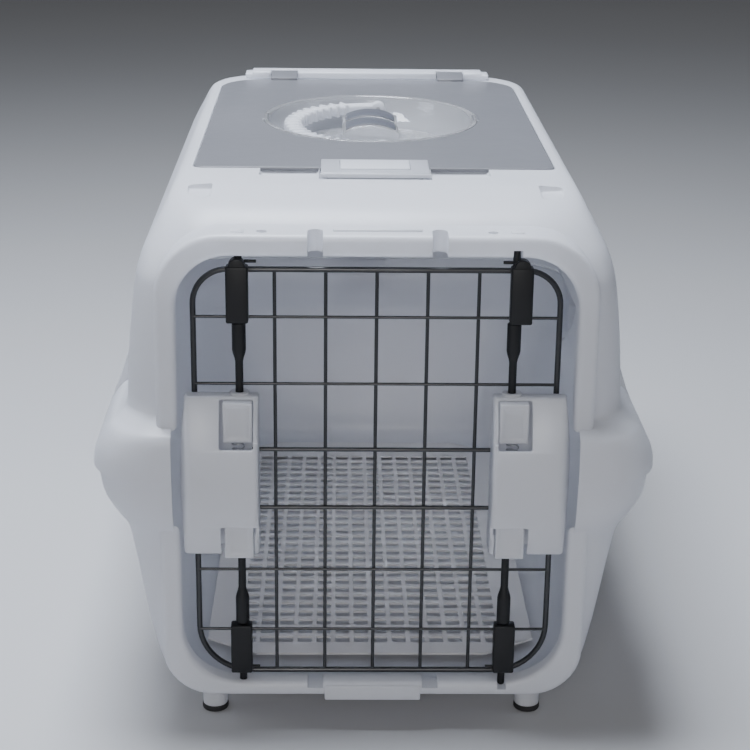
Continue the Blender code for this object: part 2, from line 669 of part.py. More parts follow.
# ---- roof door -------------------------------------------------------------------------------------
def ellipse_ring(a, b, z, count=32):
    points = []
    for i in range(count):
        t = 2 * math.pi * i / count
        points.append((a * math.cos(t), DOOR_Y + DISH_D + b * math.sin(t), z))
    return points


def make_panel(parent, origin):
    panel = place("roof_panel", prism(panel_outline(), "z", *PANEL_Z), "smoke", parent, origin)
    combine(panel, rings([ellipse_ring(DISH_A + GAP, DISH_B + GAP, z) for z in (0.37, 0.40)]))
    tabs = []
    for side in (-1, 1):
        x0, x1 = side * TAB_X - TAB_W / 2, side * TAB_X + TAB_W / 2
        barrel = arc(DOOR_Y + ROOF_HINGE_D, ROOF_HINGE_Z, 0.0030, -90, 90, 6)
        shape = [(DOOR_Y + 0.4880, PANEL_Z[0] + 0.0010), (DOOR_Y + PANEL_D[1] - 0.001, PANEL_Z[0] + 0.0010),
                 (DOOR_Y + PANEL_D[1] - 0.001, PANEL_Z[1] - 0.0003)] + barrel + [(DOOR_Y + 0.4880, 0.3880)]
        tabs.append(prism(shape, "x", x0, x1))
    combine(panel, merged(tabs), "UNION")
    bores = [rod("x", s * TAB_X - 0.015, s * TAB_X + 0.015, (DOOR_Y + ROOF_HINGE_D, ROOF_HINGE_Z), 0.0017, 8)
             for s in (-1, 1)]
    combine(panel, merged(bores))


def make_dish(parent, origin):
    steps = [(0.3586, 0.056, 0.068), (0.3600, 0.066, 0.078), (0.3640, 0.0745, 0.0870),
             (0.3720, 0.0835, 0.0962),
             (0.3800, 0.0868, 0.0994), (PANEL_Z[1], DISH_A, DISH_B)]
    dish = place("roof_dish", rings([ellipse_ring(a, b, z) for z, a, b in steps]), "clear", parent, origin)
    hollow = [(0.3610, 0.056, 0.068), (0.3625, 0.0655, 0.0775), (0.3660, 0.0735, 0.0860),
              (0.3730, 0.0815, 0.0940),
              (0.3805, 0.0845, 0.0970), (PANEL_Z[1] + 0.002, DISH_A - 0.0022, DISH_B - 0.0022)]
    combine(dish, rings([ellipse_ring(a, b, z) for z, a, b in hollow]))


def make_saddle(parent, origin):
    """The bridge in the middle of the dish, arched across the carrier, with two dark inlays."""
    half, low, rise = 0.0235, 0.3613, SADDLE_Z + 0.0405
    crown = arc(0.0, SADDLE_Z, SADDLE_R, 120, 60, 8)
    outline = [(half, low), (half, rise)] + list(reversed(crown)) + [(-half, rise), (-half, low)]
    saddle = prism(outline, "y", DOOR_Y + SADDLE_D[0], DOOR_Y + SADDLE_D[1])
    saddle = place("dish_saddle", saddle, "clear", parent, origin)
    for k, d in enumerate(BAND_D):
        top = arc(0.0, SADDLE_Z, SADDLE_R + 0.0008, 115, 65, 8)
        under = arc(0.0, SADDLE_Z, SADDLE_R - 0.0010, 65, 115, 8)
        strip = prism(top + under, "y", DOOR_Y + d, DOOR_Y + d + BAND_LONG)
        groove_top = arc(0.0, SADDLE_Z, SADDLE_R + 0.0020, 116, 64, 8)
        groove_under = arc(0.0, SADDLE_Z, SADDLE_R - 0.0010 - GAP, 64, 116, 8)
        groove = prism(groove_top + groove_under, "y", DOOR_Y + d - GAP, DOOR_Y + d + BAND_LONG + GAP)
        combine(saddle, groove)
        place("saddle_band_%d" % (k + 1), strip, "band", parent, origin)


def make_handle(roof_pivot, roof_origin):
    pivot_at = (HANDLE_X, DOOR_Y + DISH_D, HANDLE_Z)
    swing = pivot("handle_pivot", pivot_at)
    swing.parent = roof_pivot
    swing.matrix_parent_inverse = Matrix.Translation(roof_pivot.location).inverted()
    centre = []
    for i in range(21):
        t = math.radians(90 + 180 * i / 20)
        centre.append(Vector((HANDLE_REACH * abs(math.cos(t)) ** 0.9 * -1.0, HANDLE_HALF * math.sin(t), 0.0)))
    sections = []
    for i, p in enumerate(centre):
        ahead, behind = centre[min(i + 1, 20)], centre[max(i - 1, 0)]
        along = (ahead - behind).normalized()
        out = Vector((along.y, -along.x, 0.0))
        ring = []
        for u, w in rounded_box(-0.0060, 0.0060, -0.0042, 0.0042, (0.002,) * 4, 1):
            ring.append(Vector(pivot_at) + p + out * u + Vector((0, 0, w)))
        sections.append(ring)
    handle = place("handle", rings(sections), "shell", swing, pivot_at)
    bosses, bores = [], []
    for end in (-1, 1):
        y0, y1 = sorted((DOOR_Y + DISH_D + end * (HANDLE_HALF - 0.006),
                         DOOR_Y + DISH_D + end * (HANDLE_HALF + 0.0045)))
        bosses.append(rod("y", y0, y1, (HANDLE_X, HANDLE_Z), 0.0062, 12))
        bores.append(rod("y", y0 - 0.002, y1 + 0.002, (HANDLE_X, HANDLE_Z), 0.0024, 8))
        p0, p1 = sorted((DOOR_Y + DISH_D + end * (HANDLE_HALF - 0.004), DOOR_Y + DISH_D + end * 0.0936))
        pin = rod("y", p0, p1, (HANDLE_X, HANDLE_Z), 0.0020, 8)
        place("handle_pin_%s" % ("front" if end < 0 else "rear"), pin, "steel", roof_pivot, roof_origin)
    combine(handle, merged(bosses), "UNION")
    combine(handle, merged(bores))


def make_latch():
    """The latch slides back over the roof panel to free its front edge."""
    at = (0.0, DOOR_Y + 0.0875, PANEL_Z[1])
    slide = pivot("roof_latch_pivot", at)
    latch = place("roof_latch", box(-0.0390, 0.0390, 0.0875, 0.1330, PANEL_Z[1] + GAP, 0.3900), "smoke",
                  slide, at)
    combine(latch, box(-0.0340, 0.0340, 0.0880, 0.0960, 0.3818, 0.3880), "UNION")
    combine(latch, box(-0.0253, 0.0253, 0.0977, 0.1273, 0.3885, 0.40))
    place("latch_insert", box(-0.0250, 0.0250, 0.0980, 0.1270, 0.3888, 0.3906), "shell", slide, at)


roof_hinge = pivot("roof_door_pivot", (0.0, DOOR_Y + ROOF_HINGE_D, ROOF_HINGE_Z))
roof_at = tuple(roof_hinge.location)
make_panel(roof_hinge, roof_at)
make_dish(roof_hinge, roof_at)
make_saddle(roof_hinge, roof_at)
make_handle(roof_hinge, roof_at)
make_latch()


def make_ridge():
    """The strip behind the roof door that covers its hinge, slotted for the two tabs."""
    y0, y1 = DOOR_Y + RIDGE_D[0], DOOR_Y + RIDGE_D[1]
    low = ROOF_Z + GAP
    outline = [(y0, low), (y1, low), (y1, RIDGE_TOP - 0.002), (y1 - 0.002, RIDGE_TOP),
               (y0 + 0.002, RIDGE_TOP),
               (y0, RIDGE_TOP - 0.002)]
    ridge = place("hinge_cover", prism(outline, "x", -RIDGE_W, RIDGE_W), "shell")
    slots, bores = [], []
    for side in (-1, 1):
        x0, x1 = side * TAB_X - TAB_W / 2 - 0.0008, side * TAB_X + TAB_W / 2 + 0.0008
        slots.append(box(x0, x1, RIDGE_D[0] - 0.002, ROOF_HINGE_D + 0.0055, 0.38, 0.40))
        bores.append(rod("x", x0 - 0.006, x1 + 0.006, (DOOR_Y + ROOF_HINGE_D, ROOF_HINGE_Z), 0.0017, 8))
        pin = rod("x", x0 - 0.005, x1 + 0.005, (DOOR_Y + ROOF_HINGE_D, ROOF_HINGE_Z), 0.0014, 8)
        place("roof_hinge_pin_%s" % ("left" if side < 0 else "right"), pin, "steel")
    combine(ridge, merged(slots))
    combine(ridge, merged(bores))


make_ridge()
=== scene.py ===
# %% [markdown]
# # A hard-shell pet carrier
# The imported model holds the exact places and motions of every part. This lesson gives each part its
# moulded, wired or turned surface, and keeps every dimension that the model sets.

# %% Load the frame
import json
import math

import bmesh
import bpy
from mathutils import Matrix, Vector

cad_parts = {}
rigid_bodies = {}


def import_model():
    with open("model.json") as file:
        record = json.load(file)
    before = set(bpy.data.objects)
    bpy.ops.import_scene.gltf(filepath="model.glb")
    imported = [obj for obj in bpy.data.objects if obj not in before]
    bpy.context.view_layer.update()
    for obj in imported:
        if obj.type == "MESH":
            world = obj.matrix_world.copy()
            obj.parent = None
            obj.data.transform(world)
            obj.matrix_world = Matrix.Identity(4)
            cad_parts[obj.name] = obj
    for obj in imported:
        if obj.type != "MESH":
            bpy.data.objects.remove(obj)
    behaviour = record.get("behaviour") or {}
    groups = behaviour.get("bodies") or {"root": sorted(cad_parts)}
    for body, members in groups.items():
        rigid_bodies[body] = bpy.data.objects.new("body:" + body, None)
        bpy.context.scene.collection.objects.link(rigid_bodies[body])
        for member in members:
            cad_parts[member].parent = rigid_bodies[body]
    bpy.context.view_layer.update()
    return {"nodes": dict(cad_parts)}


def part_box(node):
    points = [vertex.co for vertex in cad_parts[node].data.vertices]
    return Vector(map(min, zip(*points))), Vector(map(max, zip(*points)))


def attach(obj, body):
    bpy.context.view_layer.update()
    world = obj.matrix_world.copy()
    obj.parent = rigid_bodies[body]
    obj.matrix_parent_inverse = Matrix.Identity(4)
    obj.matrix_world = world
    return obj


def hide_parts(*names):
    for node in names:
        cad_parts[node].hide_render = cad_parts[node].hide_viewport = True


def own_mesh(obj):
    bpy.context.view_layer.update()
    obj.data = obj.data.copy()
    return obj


for old in list(bpy.data.objects):
    bpy.data.objects.remove(old, do_unlink=True)
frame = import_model()
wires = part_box("door_grille")
DOOR_Y = (wires[0].y + wires[1].y) / 2 - 0.001
SEAM_Z = (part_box("lower_shell")[1].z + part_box("upper_shell")[0].z) / 2
SEAM_GAP = 0.00015
SIDES = ((-1, "left"), (1, "right"))
print("door plane", round(DOOR_Y, 4), "seam", round(SEAM_Z, 4), "nodes", len(frame["nodes"]))

# %% [markdown]
# ## Materials
# Every finish starts from the same small kit. Socket wraps one output of a node, so that sums on values
# read like sums; Finish holds one material and adds any node by its type, settings and inputs.


# %% A kit for shader maths
class Socket:
    """A value in a material; arithmetic on it adds Math nodes."""

    def __init__(self, tree, out):
        self.tree = tree
        self.out = out

    def math(self, operation, first, second):
        node = self.tree.nodes.new("ShaderNodeMath")
        node.operation = operation
        for slot, value in zip(node.inputs, (first, second)):
            if isinstance(value, Socket):
                self.tree.links.new(value.out, slot)
            else:
                slot.default_value = value
        return Socket(self.tree, node.outputs[0])

    def __add__(self, other):
        return self.math("ADD", self, other)

    def __sub__(self, other):
        return self.math("SUBTRACT", self, other)

    def __rsub__(self, other):
        return self.math("SUBTRACT", other, self)

    def __mul__(self, other):
        return self.math("MULTIPLY", self, other)

    __radd__ = __add__
    __rmul__ = __mul__


class Finish:
    """One material on a Principled shader."""

    def __init__(self, name, **fixed):
        self.material = bpy.data.materials.new(name)
        self.material.use_nodes = True
        self.tree = self.material.node_tree
        self.shader = self.tree.nodes["Principled BSDF"]
        for key, value in fixed.items():
            self.shader.inputs[key.replace("_", " ")].default_value = value
        self.place = self.node("TexCoord", output="Object")

    def node(self, kind, settings=None, inputs=None, output=0):
        node = self.tree.nodes.new("ShaderNode" + kind)
        for key, value in (settings or {}).items():
            setattr(node, key, value)
        for key, value in (inputs or {}).items():
            if isinstance(value, Socket):
                self.tree.links.new(value.out, node.inputs[key])
            else:
                node.inputs[key].default_value = value
        return Socket(self.tree, node.outputs[output])

    def noise(self, scale, detail=2.0, stretch=(1.0, 1.0, 1.0)):
        where = self.node("Mapping", {}, {"Vector": self.place, "Scale": stretch})
        return self.node("TexNoise", {}, {"Vector": where, "Scale": scale, "Detail": detail})

    def mix(self, factor, low, high):
        return self.node("Mix", {"data_type": "RGBA"}, {0: factor, 6: (*low, 1), 7: (*high, 1)}, output=2)

    def ramp(self, value, low, high):
        return self.node("MapRange", {}, {"Value": value, "From Min": low, "From Max": high})

    def drive(self, key, value):
        self.tree.links.new(value.out, self.shader.inputs[key])


# %% [markdown]
# ### Moulded plastic
# A mould leaves a fine spark-eroded grain, and the melt cools a little unevenly, so colour and gloss drift
# over a hand's width. Edges are painted paler and made duller: partly wear from handling, partly a painted
# highlight along each edge. The Bevel node softens the last half millimetre of each edge, and comparing its
# normal with the true one tells where an edge is. A thin white wall also passes light through, which glow
# sets: it is the share of a translucent shader in the mix.


# %% Moulded plastic
def moulded(name, colour, shade, roughness, grain=0.00002, edge=0.0007, wear_and_highlight_colour=(0.9, 0.91, 0.93), glow=0.0,
            **fixed):
    f = Finish(name, **fixed)
    soft = f.node("Bevel", {"samples": 4}, {"Radius": edge})
    true = f.node("NewGeometry", output="Normal")
    same = f.node("VectorMath", {"operation": "DOT_PRODUCT"}, {0: soft, 1: true}, output="Value")
    # edge mask broken up by noise: partly wear, partly a painted highlight along the edges
    wear_and_edge_highlight = f.ramp(1.0 - same, 0.02, 0.25) * f.ramp(f.noise(160.0, 3.0), 0.42, 0.68)
    drift = f.noise(7.0, 2.0)
    base = f.mix(f.ramp(drift, 0.3, 0.7), colour, shade)
    # edges mixed towards a pale colour: wear plus a painted edge highlight
    tone = f.node("Mix", {"data_type": "RGBA"}, {0: wear_and_edge_highlight * 0.75, 6: base, 7: (*wear_and_highlight_colour, 1)}, output=2)
    f.drive("Base Color", tone)
    fine = f.noise(2600.0, 1.0)
    cloud = f.noise(45.0, 4.0)
    scuff = f.ramp(f.noise(60.0, 5.0, (1.0, 6.0, 0.6)), 0.56, 0.72)
    f.drive("Roughness", roughness + (cloud - 0.5) * 0.10 + scuff * 0.05 + wear_and_edge_highlight * 0.12)
    height = fine * 0.7 + f.noise(900.0, 2.0) * 0.3
    bump = {"Strength": 0.6, "Distance": grain, "Height": height, "Normal": soft}
    f.drive("Normal", f.node("Bump", {}, bump))
    if glow:
        through = f.node("BsdfTranslucent", {}, {"Color": (*colour, 1)})
        blend = f.tree.nodes.new("ShaderNodeMixShader")
        blend.inputs[0].default_value = glow
        f.tree.links.new(f.shader.outputs[0], blend.inputs[1])
        f.tree.links.new(through.out, blend.inputs[2])
        f.tree.links.new(blend.outputs[0], f.tree.nodes["Material Output"].inputs["Surface"])
    return f.material


# the shell's near-white edge colour paints highlights along its edges as well as wear
SHELL = moulded("shell_white_satin", (0.825, 0.835, 0.87), (0.795, 0.805, 0.845), 0.34,
                wear_and_highlight_colour=(0.97, 0.975, 0.985), glow=0.42)
MAT = moulded("mat_white_matt", (0.76, 0.745, 0.745), (0.72, 0.71, 0.71), 0.52, grain=0.00003)
SMOKE = moulded("smoke_frosted", (0.200, 0.202, 0.220), (0.185, 0.187, 0.205), 0.34, wear_and_highlight_colour=(0.45, 0.46, 0.5),
                Transmission_Weight=0.22, IOR=1.5)
PALE = moulded("latch_pale_frosted", (0.50, 0.51, 0.55), (0.46, 0.47, 0.51), 0.30, Transmission_Weight=0.2,
               IOR=1.5)
BAND = moulded("band_dark_grey", (0.10, 0.105, 0.125), (0.09, 0.095, 0.115), 0.34, wear_and_highlight_colour=(0.3, 0.31, 0.34))
BLACK = moulded("black_satin", (0.006, 0.0065, 0.008), (0.009, 0.0095, 0.011), 0.45, wear_and_highlight_colour=(0.05, 0.05, 0.055),
                Specular_IOR_Level=0.3)
RUBBER = moulded("rubber_black", (0.016, 0.016, 0.018), (0.028, 0.028, 0.03), 0.74, grain=0.00006,
                 wear_and_highlight_colour=(0.09, 0.09, 0.09))


# %% [markdown]
# ### Coated wire, steel and clear plastic
# The wires are dipped in black paint that pools slightly, so the bump is broad and low. Steel is brushed
# along its length. The clear dish is polished, with faint flow marks where the melt met.


# %% Wire, steel and clear plastic
def coated_wire():
    f = Finish("wire_black_coat", IOR=1.5, Coat_Roughness=0.12)
    pooled = f.noise(420.0, 3.0)
    f.drive("Base Color", f.mix(pooled, (0.009, 0.010, 0.013), (0.017, 0.018, 0.021)))
    f.drive("Roughness", 0.26 + f.noise(90.0, 3.0) * 0.16)
    f.drive("Coat Weight", f.ramp(f.noise(30.0), 0.2, 0.8) * 0.35)
    f.drive("Normal", f.node("Bump", {}, {"Strength": 0.5, "Distance": 0.00006, "Height": pooled}))
    return f.material


def bright_steel():
    f = Finish("steel_bright", Metallic=1.0)
    lines = f.noise(500.0, 3.0, (1.0, 12.0, 12.0))
    f.drive("Base Color", f.mix(lines, (0.50, 0.50, 0.52), (0.68, 0.68, 0.70)))
    f.drive("Roughness", 0.22 + lines * 0.18)
    f.drive("Normal", f.node("Bump", {}, {"Strength": 0.3, "Distance": 0.00002, "Height": lines}))
    return f.material


def clear_plastic():
    f = Finish("clear_polished", Transmission_Weight=0.82, IOR=1.45)
    flow = f.noise(18.0, 3.0, (1.0, 2.5, 1.0))
    f.drive("Base Color", f.mix(flow, (0.90, 0.91, 0.94), (0.96, 0.965, 0.98)))
    f.drive("Roughness", 0.05 + f.ramp(f.noise(70.0, 4.0), 0.45, 0.8) * 0.10)
    f.drive("Normal", f.node("Bump", {}, {"Strength": 0.25, "Distance": 0.0002, "Height": flow}))
    return f.material


WIRE = coated_wire()
STEEL = bright_steel()
CLEAR = clear_plastic()
print("materials", [m.name for m in (SHELL, MAT, SMOKE, PALE, BAND, BLACK, RUBBER, WIRE, STEEL, CLEAR)])

# %% [markdown]
# ## Tools for shapes
# Almost every moulding here is a rounded rectangle that changes as it rises. plate() rounds the corners of
# a quad with the bevel operator, and loft() bridges such plates into a solid. Depth d is measured backwards
# from the plane of the door's wires.


# %% Plates, lofts and prisms
STAND_UP = Matrix(((1, 0, 0, 0), (0, 0, 1, 0), (0, 1, 0, 0), (0, 0, 0, 1)))


def across(side, a, b):
    """A stretch of x on one side, the lower end first."""
    return sorted((side * a, side * b))


def plate(bm, low, high, radii, height, steps):
    """One flat face at a height, its corners rounded: lower left, lower right, upper right, upper left."""
    verts = bmesh.ops.create_grid(bm, x_segments=1, y_segments=1, size=0.5)["verts"]
    for v in verts:
        v.co = (high[0] if v.co.x > 0 else low[0], high[1] if v.co.y > 0 else low[1], height)
    spots = [(low[0], low[1]), (high[0], low[1]), (high[0], high[1]), (low[0], high[1])]
    corners = [min(verts, key=lambda v, s=s: (v.co.x - s[0]) ** 2 + (v.co.y - s[1]) ** 2) for s in spots]
    for corner, radius in zip(corners, radii):
        bmesh.ops.bevel(bm, geom=[corner], offset=radius, segments=steps, profile=0.5, affect="VERTICES",
                        material=-1)


def pour(part, whole):
    """Add one bmesh to another and free it; the count of faces before is where its own faces start."""
    mesh = bpy.data.meshes.new("part")
    part.to_mesh(mesh)
    part.free()
    start = len(whole.faces)
    whole.from_mesh(mesh)
    bpy.data.meshes.remove(mesh)
    return start


def bridge(bm, faces):
    """Join flat faces in order; only the first and the last stay as the ends of the solid."""
    rims = [list(f.edges) for f in faces]
    bmesh.ops.delete(bm, geom=faces[1:-1], context="FACES_ONLY")
    for below, above in zip(rims, rims[1:]):
        bmesh.ops.bridge_loops(bm, edges=below + above)
    bmesh.ops.recalc_face_normals(bm, faces=bm.faces)
    return bm


def loft(sections, steps=8):
    """A closed solid through plates; a section is height, low corner, high corner and radii."""
    bm = bmesh.new()
    faces = []
    for height, low, high, radii in sections:
        one = bmesh.new()
        plate(one, low, high, radii, height, steps)
        start = pour(one, bm)
        bm.faces.ensure_lookup_table()
        faces.append(bm.faces[start])
    return bridge(bm, faces)


def upright(bm):
    """Turn a loft so that its plates stand in x and z and its heights become depths along y."""
    bmesh.ops.transform(bm, matrix=STAND_UP, verts=bm.verts)
    bmesh.ops.reverse_faces(bm, faces=bm.faces)
    return bm


def block(x0, x1, d0, d1, z0, z1, edge=0.0, segments=3):
    """A box by its depths behind the door plane, its edges rounded."""
    bm = bmesh.new()
    bmesh.ops.create_cube(bm, size=1.0)
    middle = Vector(((x0 + x1) / 2, DOOR_Y + (d0 + d1) / 2, (z0 + z1) / 2))
    bmesh.ops.scale(bm, vec=(abs(x1 - x0), d1 - d0, z1 - z0), verts=bm.verts)
    bmesh.ops.translate(bm, vec=middle, verts=bm.verts)
    return soften(bm, edge, segments)


def soften(bm, edge, segments=3, angle=30.0):
    """Round every edge where the surface turns by more than angle."""
    if edge > 0:
        sharp = [e for e in bm.edges if len(e.link_faces) == 2 and e.calc_face_angle(0) > math.radians(angle)]
        bmesh.ops.bevel(bm, geom=sharp, offset=edge, segments=segments, profile=0.5, affect="EDGES",
                        material=-1, clamp_overlap=True)
    return bm


def bar(axis, low, high, centre, radius, sides=32, edge=0.0):
    """A round bar along x, y or z through the pair of other coordinates in centre."""
    bm = bmesh.new()
    bmesh.ops.create_cone(bm, cap_ends=True, segments=sides, radius1=radius, radius2=radius, depth=high - low)
    soften(bm, edge)
    turn = {"z": Matrix.Identity(4), "y": Matrix.Rotation(math.radians(-90), 4, "X"),
            "x": Matrix.Rotation(math.radians(90), 4, "Y")}[axis]
    middle = (low + high) / 2
    spot = {"x": (middle, *centre), "y": (centre[0], middle, centre[1]), "z": (*centre, middle)}[axis]
    bmesh.ops.transform(bm, matrix=Matrix.Translation(spot) @ turn, verts=bm.verts)
    return bm


def pushed(points, push):
    """A flat outline pushed along a vector."""
    bm = bmesh.new()
    face = bm.faces.new([bm.verts.new(p) for p in points])
    moved = bmesh.ops.extrude_face_region(bm, geom=[face])["geom"]
    bmesh.ops.translate(bm, vec=push, verts=[v for v in moved if isinstance(v, bmesh.types.BMVert)])
    bmesh.ops.recalc_face_normals(bm, faces=bm.faces)
    return bm


def prism(points, axis, low, high, edge=0.0, segments=3):
    """An outline of a few points pushed along x, y or z, its edges rounded."""
    spot = {"x": lambda p, h: (h, p[0], p[1]), "y": lambda p, h: (p[0], h, p[1]),
            "z": lambda p, h: (p[0], p[1], h)}[axis]
    bm = pushed([spot(p, low) for p in points], Vector(spot((0.0, 0.0), high - low)))
    return soften(bm, edge, segments)


def arc(cx, cy, radius, start, stop, steps):
    """Points on a circle from start to stop degrees."""
    turns = [math.radians(start + (stop - start) * i / steps) for i in range(steps + 1)]
    return [(cx + radius * math.cos(a), cy + radius * math.sin(a)) for a in turns]


def joined(parts):
    """Several bmeshes in one."""
    whole = bmesh.new()
    for part in parts:
        pour(part, whole)
    return whole


def turned(profile, centre, sides=40):
    """A solid turned about a vertical axis; the profile is radius and height from one pole to the other."""
    bm = bmesh.new()
    verts = [bm.verts.new((r, 0.0, z)) for r, z in profile]
    edges = [bm.edges.new(pair) for pair in zip(verts, verts[1:])]
    bmesh.ops.spin(bm, geom=verts + edges, cent=(0, 0, 0), axis=(0, 0, 1), angle=2 * math.pi, steps=sides,
                   use_merge=True)
    bmesh.ops.remove_doubles(bm, verts=bm.verts, dist=1e-6)
    bmesh.ops.recalc_face_normals(bm, faces=bm.faces)
    bmesh.ops.translate(bm, vec=(*centre, 0.0), verts=bm.verts)
    return bm


# %% [markdown]
# A finished bmesh becomes an object at the origin that rides on its body and stands for its CAD node. Cuts
# and joins are exact Booleans that are applied at once, so the object that is kept has a plain mesh.


# %% Objects and exact cuts
made = {}


def raw(name, bm):
    mesh = bpy.data.meshes.new(name)
    bm.to_mesh(mesh)
    bm.free()
    obj = bpy.data.objects.new(name, mesh)
    bpy.context.collection.objects.link(obj)
    return obj


def settle(obj):
    """Apply the modifiers by taking the evaluated mesh."""
    graph = bpy.context.evaluated_depsgraph_get()
    mesh = bpy.data.meshes.new_from_object(obj.evaluated_get(graph))
    obj.modifiers.clear()
    obj.data = mesh
    return obj


def carve(obj, tool_bm, operation="DIFFERENCE"):
    tool = raw("tool", tool_bm)
    step = obj.modifiers.new(operation.title(), "BOOLEAN")
    step.operation = operation
    step.solver = "EXACT"
    step.object = tool
    settle(obj)
    bpy.data.objects.remove(tool, do_unlink=True)
    return obj


def rework(obj, change):
    """Change an object's mesh in place."""
    bm = bmesh.new()
    bm.from_mesh(obj.data)
    change(bm)
    bm.to_mesh(obj.data)
    bm.free()


def finish(obj, body, nodes, material, angle=32.0, edge=0.0, segments=2):
    """Round small edges, shade, and hand the piece to its body."""
    if edge > 0:
        step = obj.modifiers.new("Edges", "BEVEL")
        step.width = edge
        step.segments = segments
        step.limit_method = "ANGLE"
        step.angle_limit = math.radians(angle)
        settle(obj)
    obj.data.materials.clear()
    obj.data.materials.append(material)
    obj.data.shade_smooth()
    obj.data.set_sharp_from_angle(angle=math.radians(angle))
    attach(obj, body)
    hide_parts(*nodes)
    made[obj.name] = len(obj.data.polygons)
    return obj


# %% [markdown]
# ## The two shells
# The real shells are injection moulded: every wall leans a little so that it leaves the mould, and a belt
# bulges where the two halves meet. Sections between the few that matter run on a curve that never
# overshoots, which keeps the belt crisp and the walls straight.


# %% Shell sections
WALL = 0.003
TUB = [
    (0.0205, 0.1185, 0.0100, 0.4700, 0.030, 0.045),
    (0.0249, 0.1378, 0.0020, 0.4895, 0.030, 0.050),
    (0.0377, 0.1518, -0.0010, 0.5030, 0.030, 0.055),
    (0.0550, 0.1572, -0.0040, 0.5075, 0.030, 0.058),
    (0.1400, 0.1735, -0.0050, 0.5390, 0.034, 0.060),
    (0.1520, 0.1765, -0.0090, 0.5440, 0.036, 0.062),
    (0.1640, 0.1845, -0.0165, 0.5530, 0.042, 0.068),
    (0.1800, 0.1920, -0.0205, 0.5600, 0.044, 0.074),
    (SEAM_Z - SEAM_GAP, 0.1945, -0.0215, 0.5635, 0.045, 0.077),
]
LID = [
    (SEAM_Z + SEAM_GAP, 0.1975, -0.0230, 0.5665, 0.046, 0.079),
    (0.2050, 0.1970, -0.0230, 0.5660, 0.046, 0.079),
    (0.2180, 0.1920, -0.0225, 0.5610, 0.044, 0.075),
    (0.2280, 0.1850, -0.0205, 0.5550, 0.040, 0.068),
    (0.2330, 0.1790, -0.0130, 0.5505, 0.037, 0.063),
    (0.2400, 0.1740, -0.0040, 0.5470, 0.036, 0.060),
    (0.2800, 0.1712, -0.0035, 0.5450, 0.036, 0.059),
    (0.3300, 0.1655, -0.0020, 0.5430, 0.036, 0.058),
    (0.3450, 0.1615, 0.0020, 0.5425, 0.037, 0.058),
    (0.3560, 0.1565, 0.0070, 0.5415, 0.039, 0.058),
    (0.3700, 0.1488, 0.0185, 0.5385, 0.042, 0.056),
    (0.3790, 0.1440, 0.0360, 0.5330, 0.044, 0.054),
    (0.3835, 0.1405, 0.0560, 0.5275, 0.044, 0.052),
    (0.3853, 0.1370, 0.0700, 0.5240, 0.044, 0.050),
]

# beside each clip the belt is set back and backed by a pad: outward distance and height
RECESS = [(0.2100, 0.1480), (0.1890, 0.1480), (0.1880, 0.1700), (0.1885, 0.2000), (0.1850, 0.2150),
          (0.1790, 0.2330), (0.1763, 0.2440), (0.2100, 0.2440)]
TUB_PAD = [(0.1850, 0.1700), (0.1878, 0.1700), (0.1915, 0.1830), (0.1925, SEAM_Z - SEAM_GAP),
           (0.1850, SEAM_Z - SEAM_GAP)]
LID_PAD = [(0.1850, SEAM_Z + SEAM_GAP), (0.1955, SEAM_Z + SEAM_GAP), (0.1955, 0.2050), (0.1900, 0.2180),
           (0.1830, 0.2280), (0.1770, 0.2330), (0.1730, 0.2400), (0.1700, 0.2400), (0.1740, 0.2300),
           (0.1800, 0.2180), (0.1850, 0.2050)]


def smooth_rows(rows, per):
    """Rows between the given ones; each column follows a cubic that never overshoots."""
    run = [0.0]
    for a, b in zip(rows, rows[1:]):
        run.append(run[-1] + math.dist(a, b))
    columns = []
    for column in zip(*rows):
        rise = [(b - a) / (t - s) for a, b, s, t in zip(column, column[1:], run, run[1:])]
        slope = [rise[0]]
        for before, after in zip(rise, rise[1:]):
            slope.append(2 * before * after / (before + after) if before * after > 0 else 0.0)
        slope.append(rise[-1])
        values = []
        for i in range(len(column) - 1):
            span = run[i + 1] - run[i]
            for k in range(per):
                t = k / per
                values.append(column[i] * (2 * t ** 3 - 3 * t ** 2 + 1) + column[i + 1] * (3 * t ** 2 - 2 * t ** 3)
                              + span * (slope[i] * (t ** 3 - 2 * t ** 2 + t) + slope[i + 1] * (t ** 3 - t ** 2)))
        columns.append(values + [column[-1]])
    return list(zip(*columns))


def shell_section(row, grow=0.0):
    z, half, front, rear, r_front, r_rear = row
    half, front, rear = half + grow, front - grow, rear + grow
    radii = (r_front + grow, r_front + grow, r_rear + grow, r_rear + grow)
    return z, (-half, DOOR_Y + front), (half, DOOR_Y + rear), radii


# %% [markdown]
# The door frame is a thick rounded ring round the opening: the ledge above, the sill below and a jamb on
# each side. Quarter-round sections soften its front edge inside and out.

# %% Door frame and opening
FRAME_FRONT = -0.012
RING = ((-0.150, 0.0275), (0.150, 0.3695), (0.036, 0.036, 0.045, 0.045))
OPENING = ((-0.1355, 0.0385), (0.1355, 0.3545), (0.042, 0.042, 0.036, 0.036))


def framed(shape, depths):
    """A standing loft of one rounded rectangle; a depth comes with how far the outline is drawn in there."""
    low, high, radii = shape
    sections = []
    for d, inset in depths:
        sections.append((DOOR_Y + d, (low[0] + inset, low[1] + inset), (high[0] - inset, high[1] - inset),
                         tuple(r - inset for r in radii)))
    return upright(loft(sections, steps=10))


def quarter(depth, radius):
    """Depths and insets that run round a quarter circle to the front of a frame."""
    rows = []
    for k in range(6):
        a = math.radians(18 * k)
        rows.append((depth + radius * (1 - math.sin(a)), radius * (1 - math.cos(a))))
    return rows


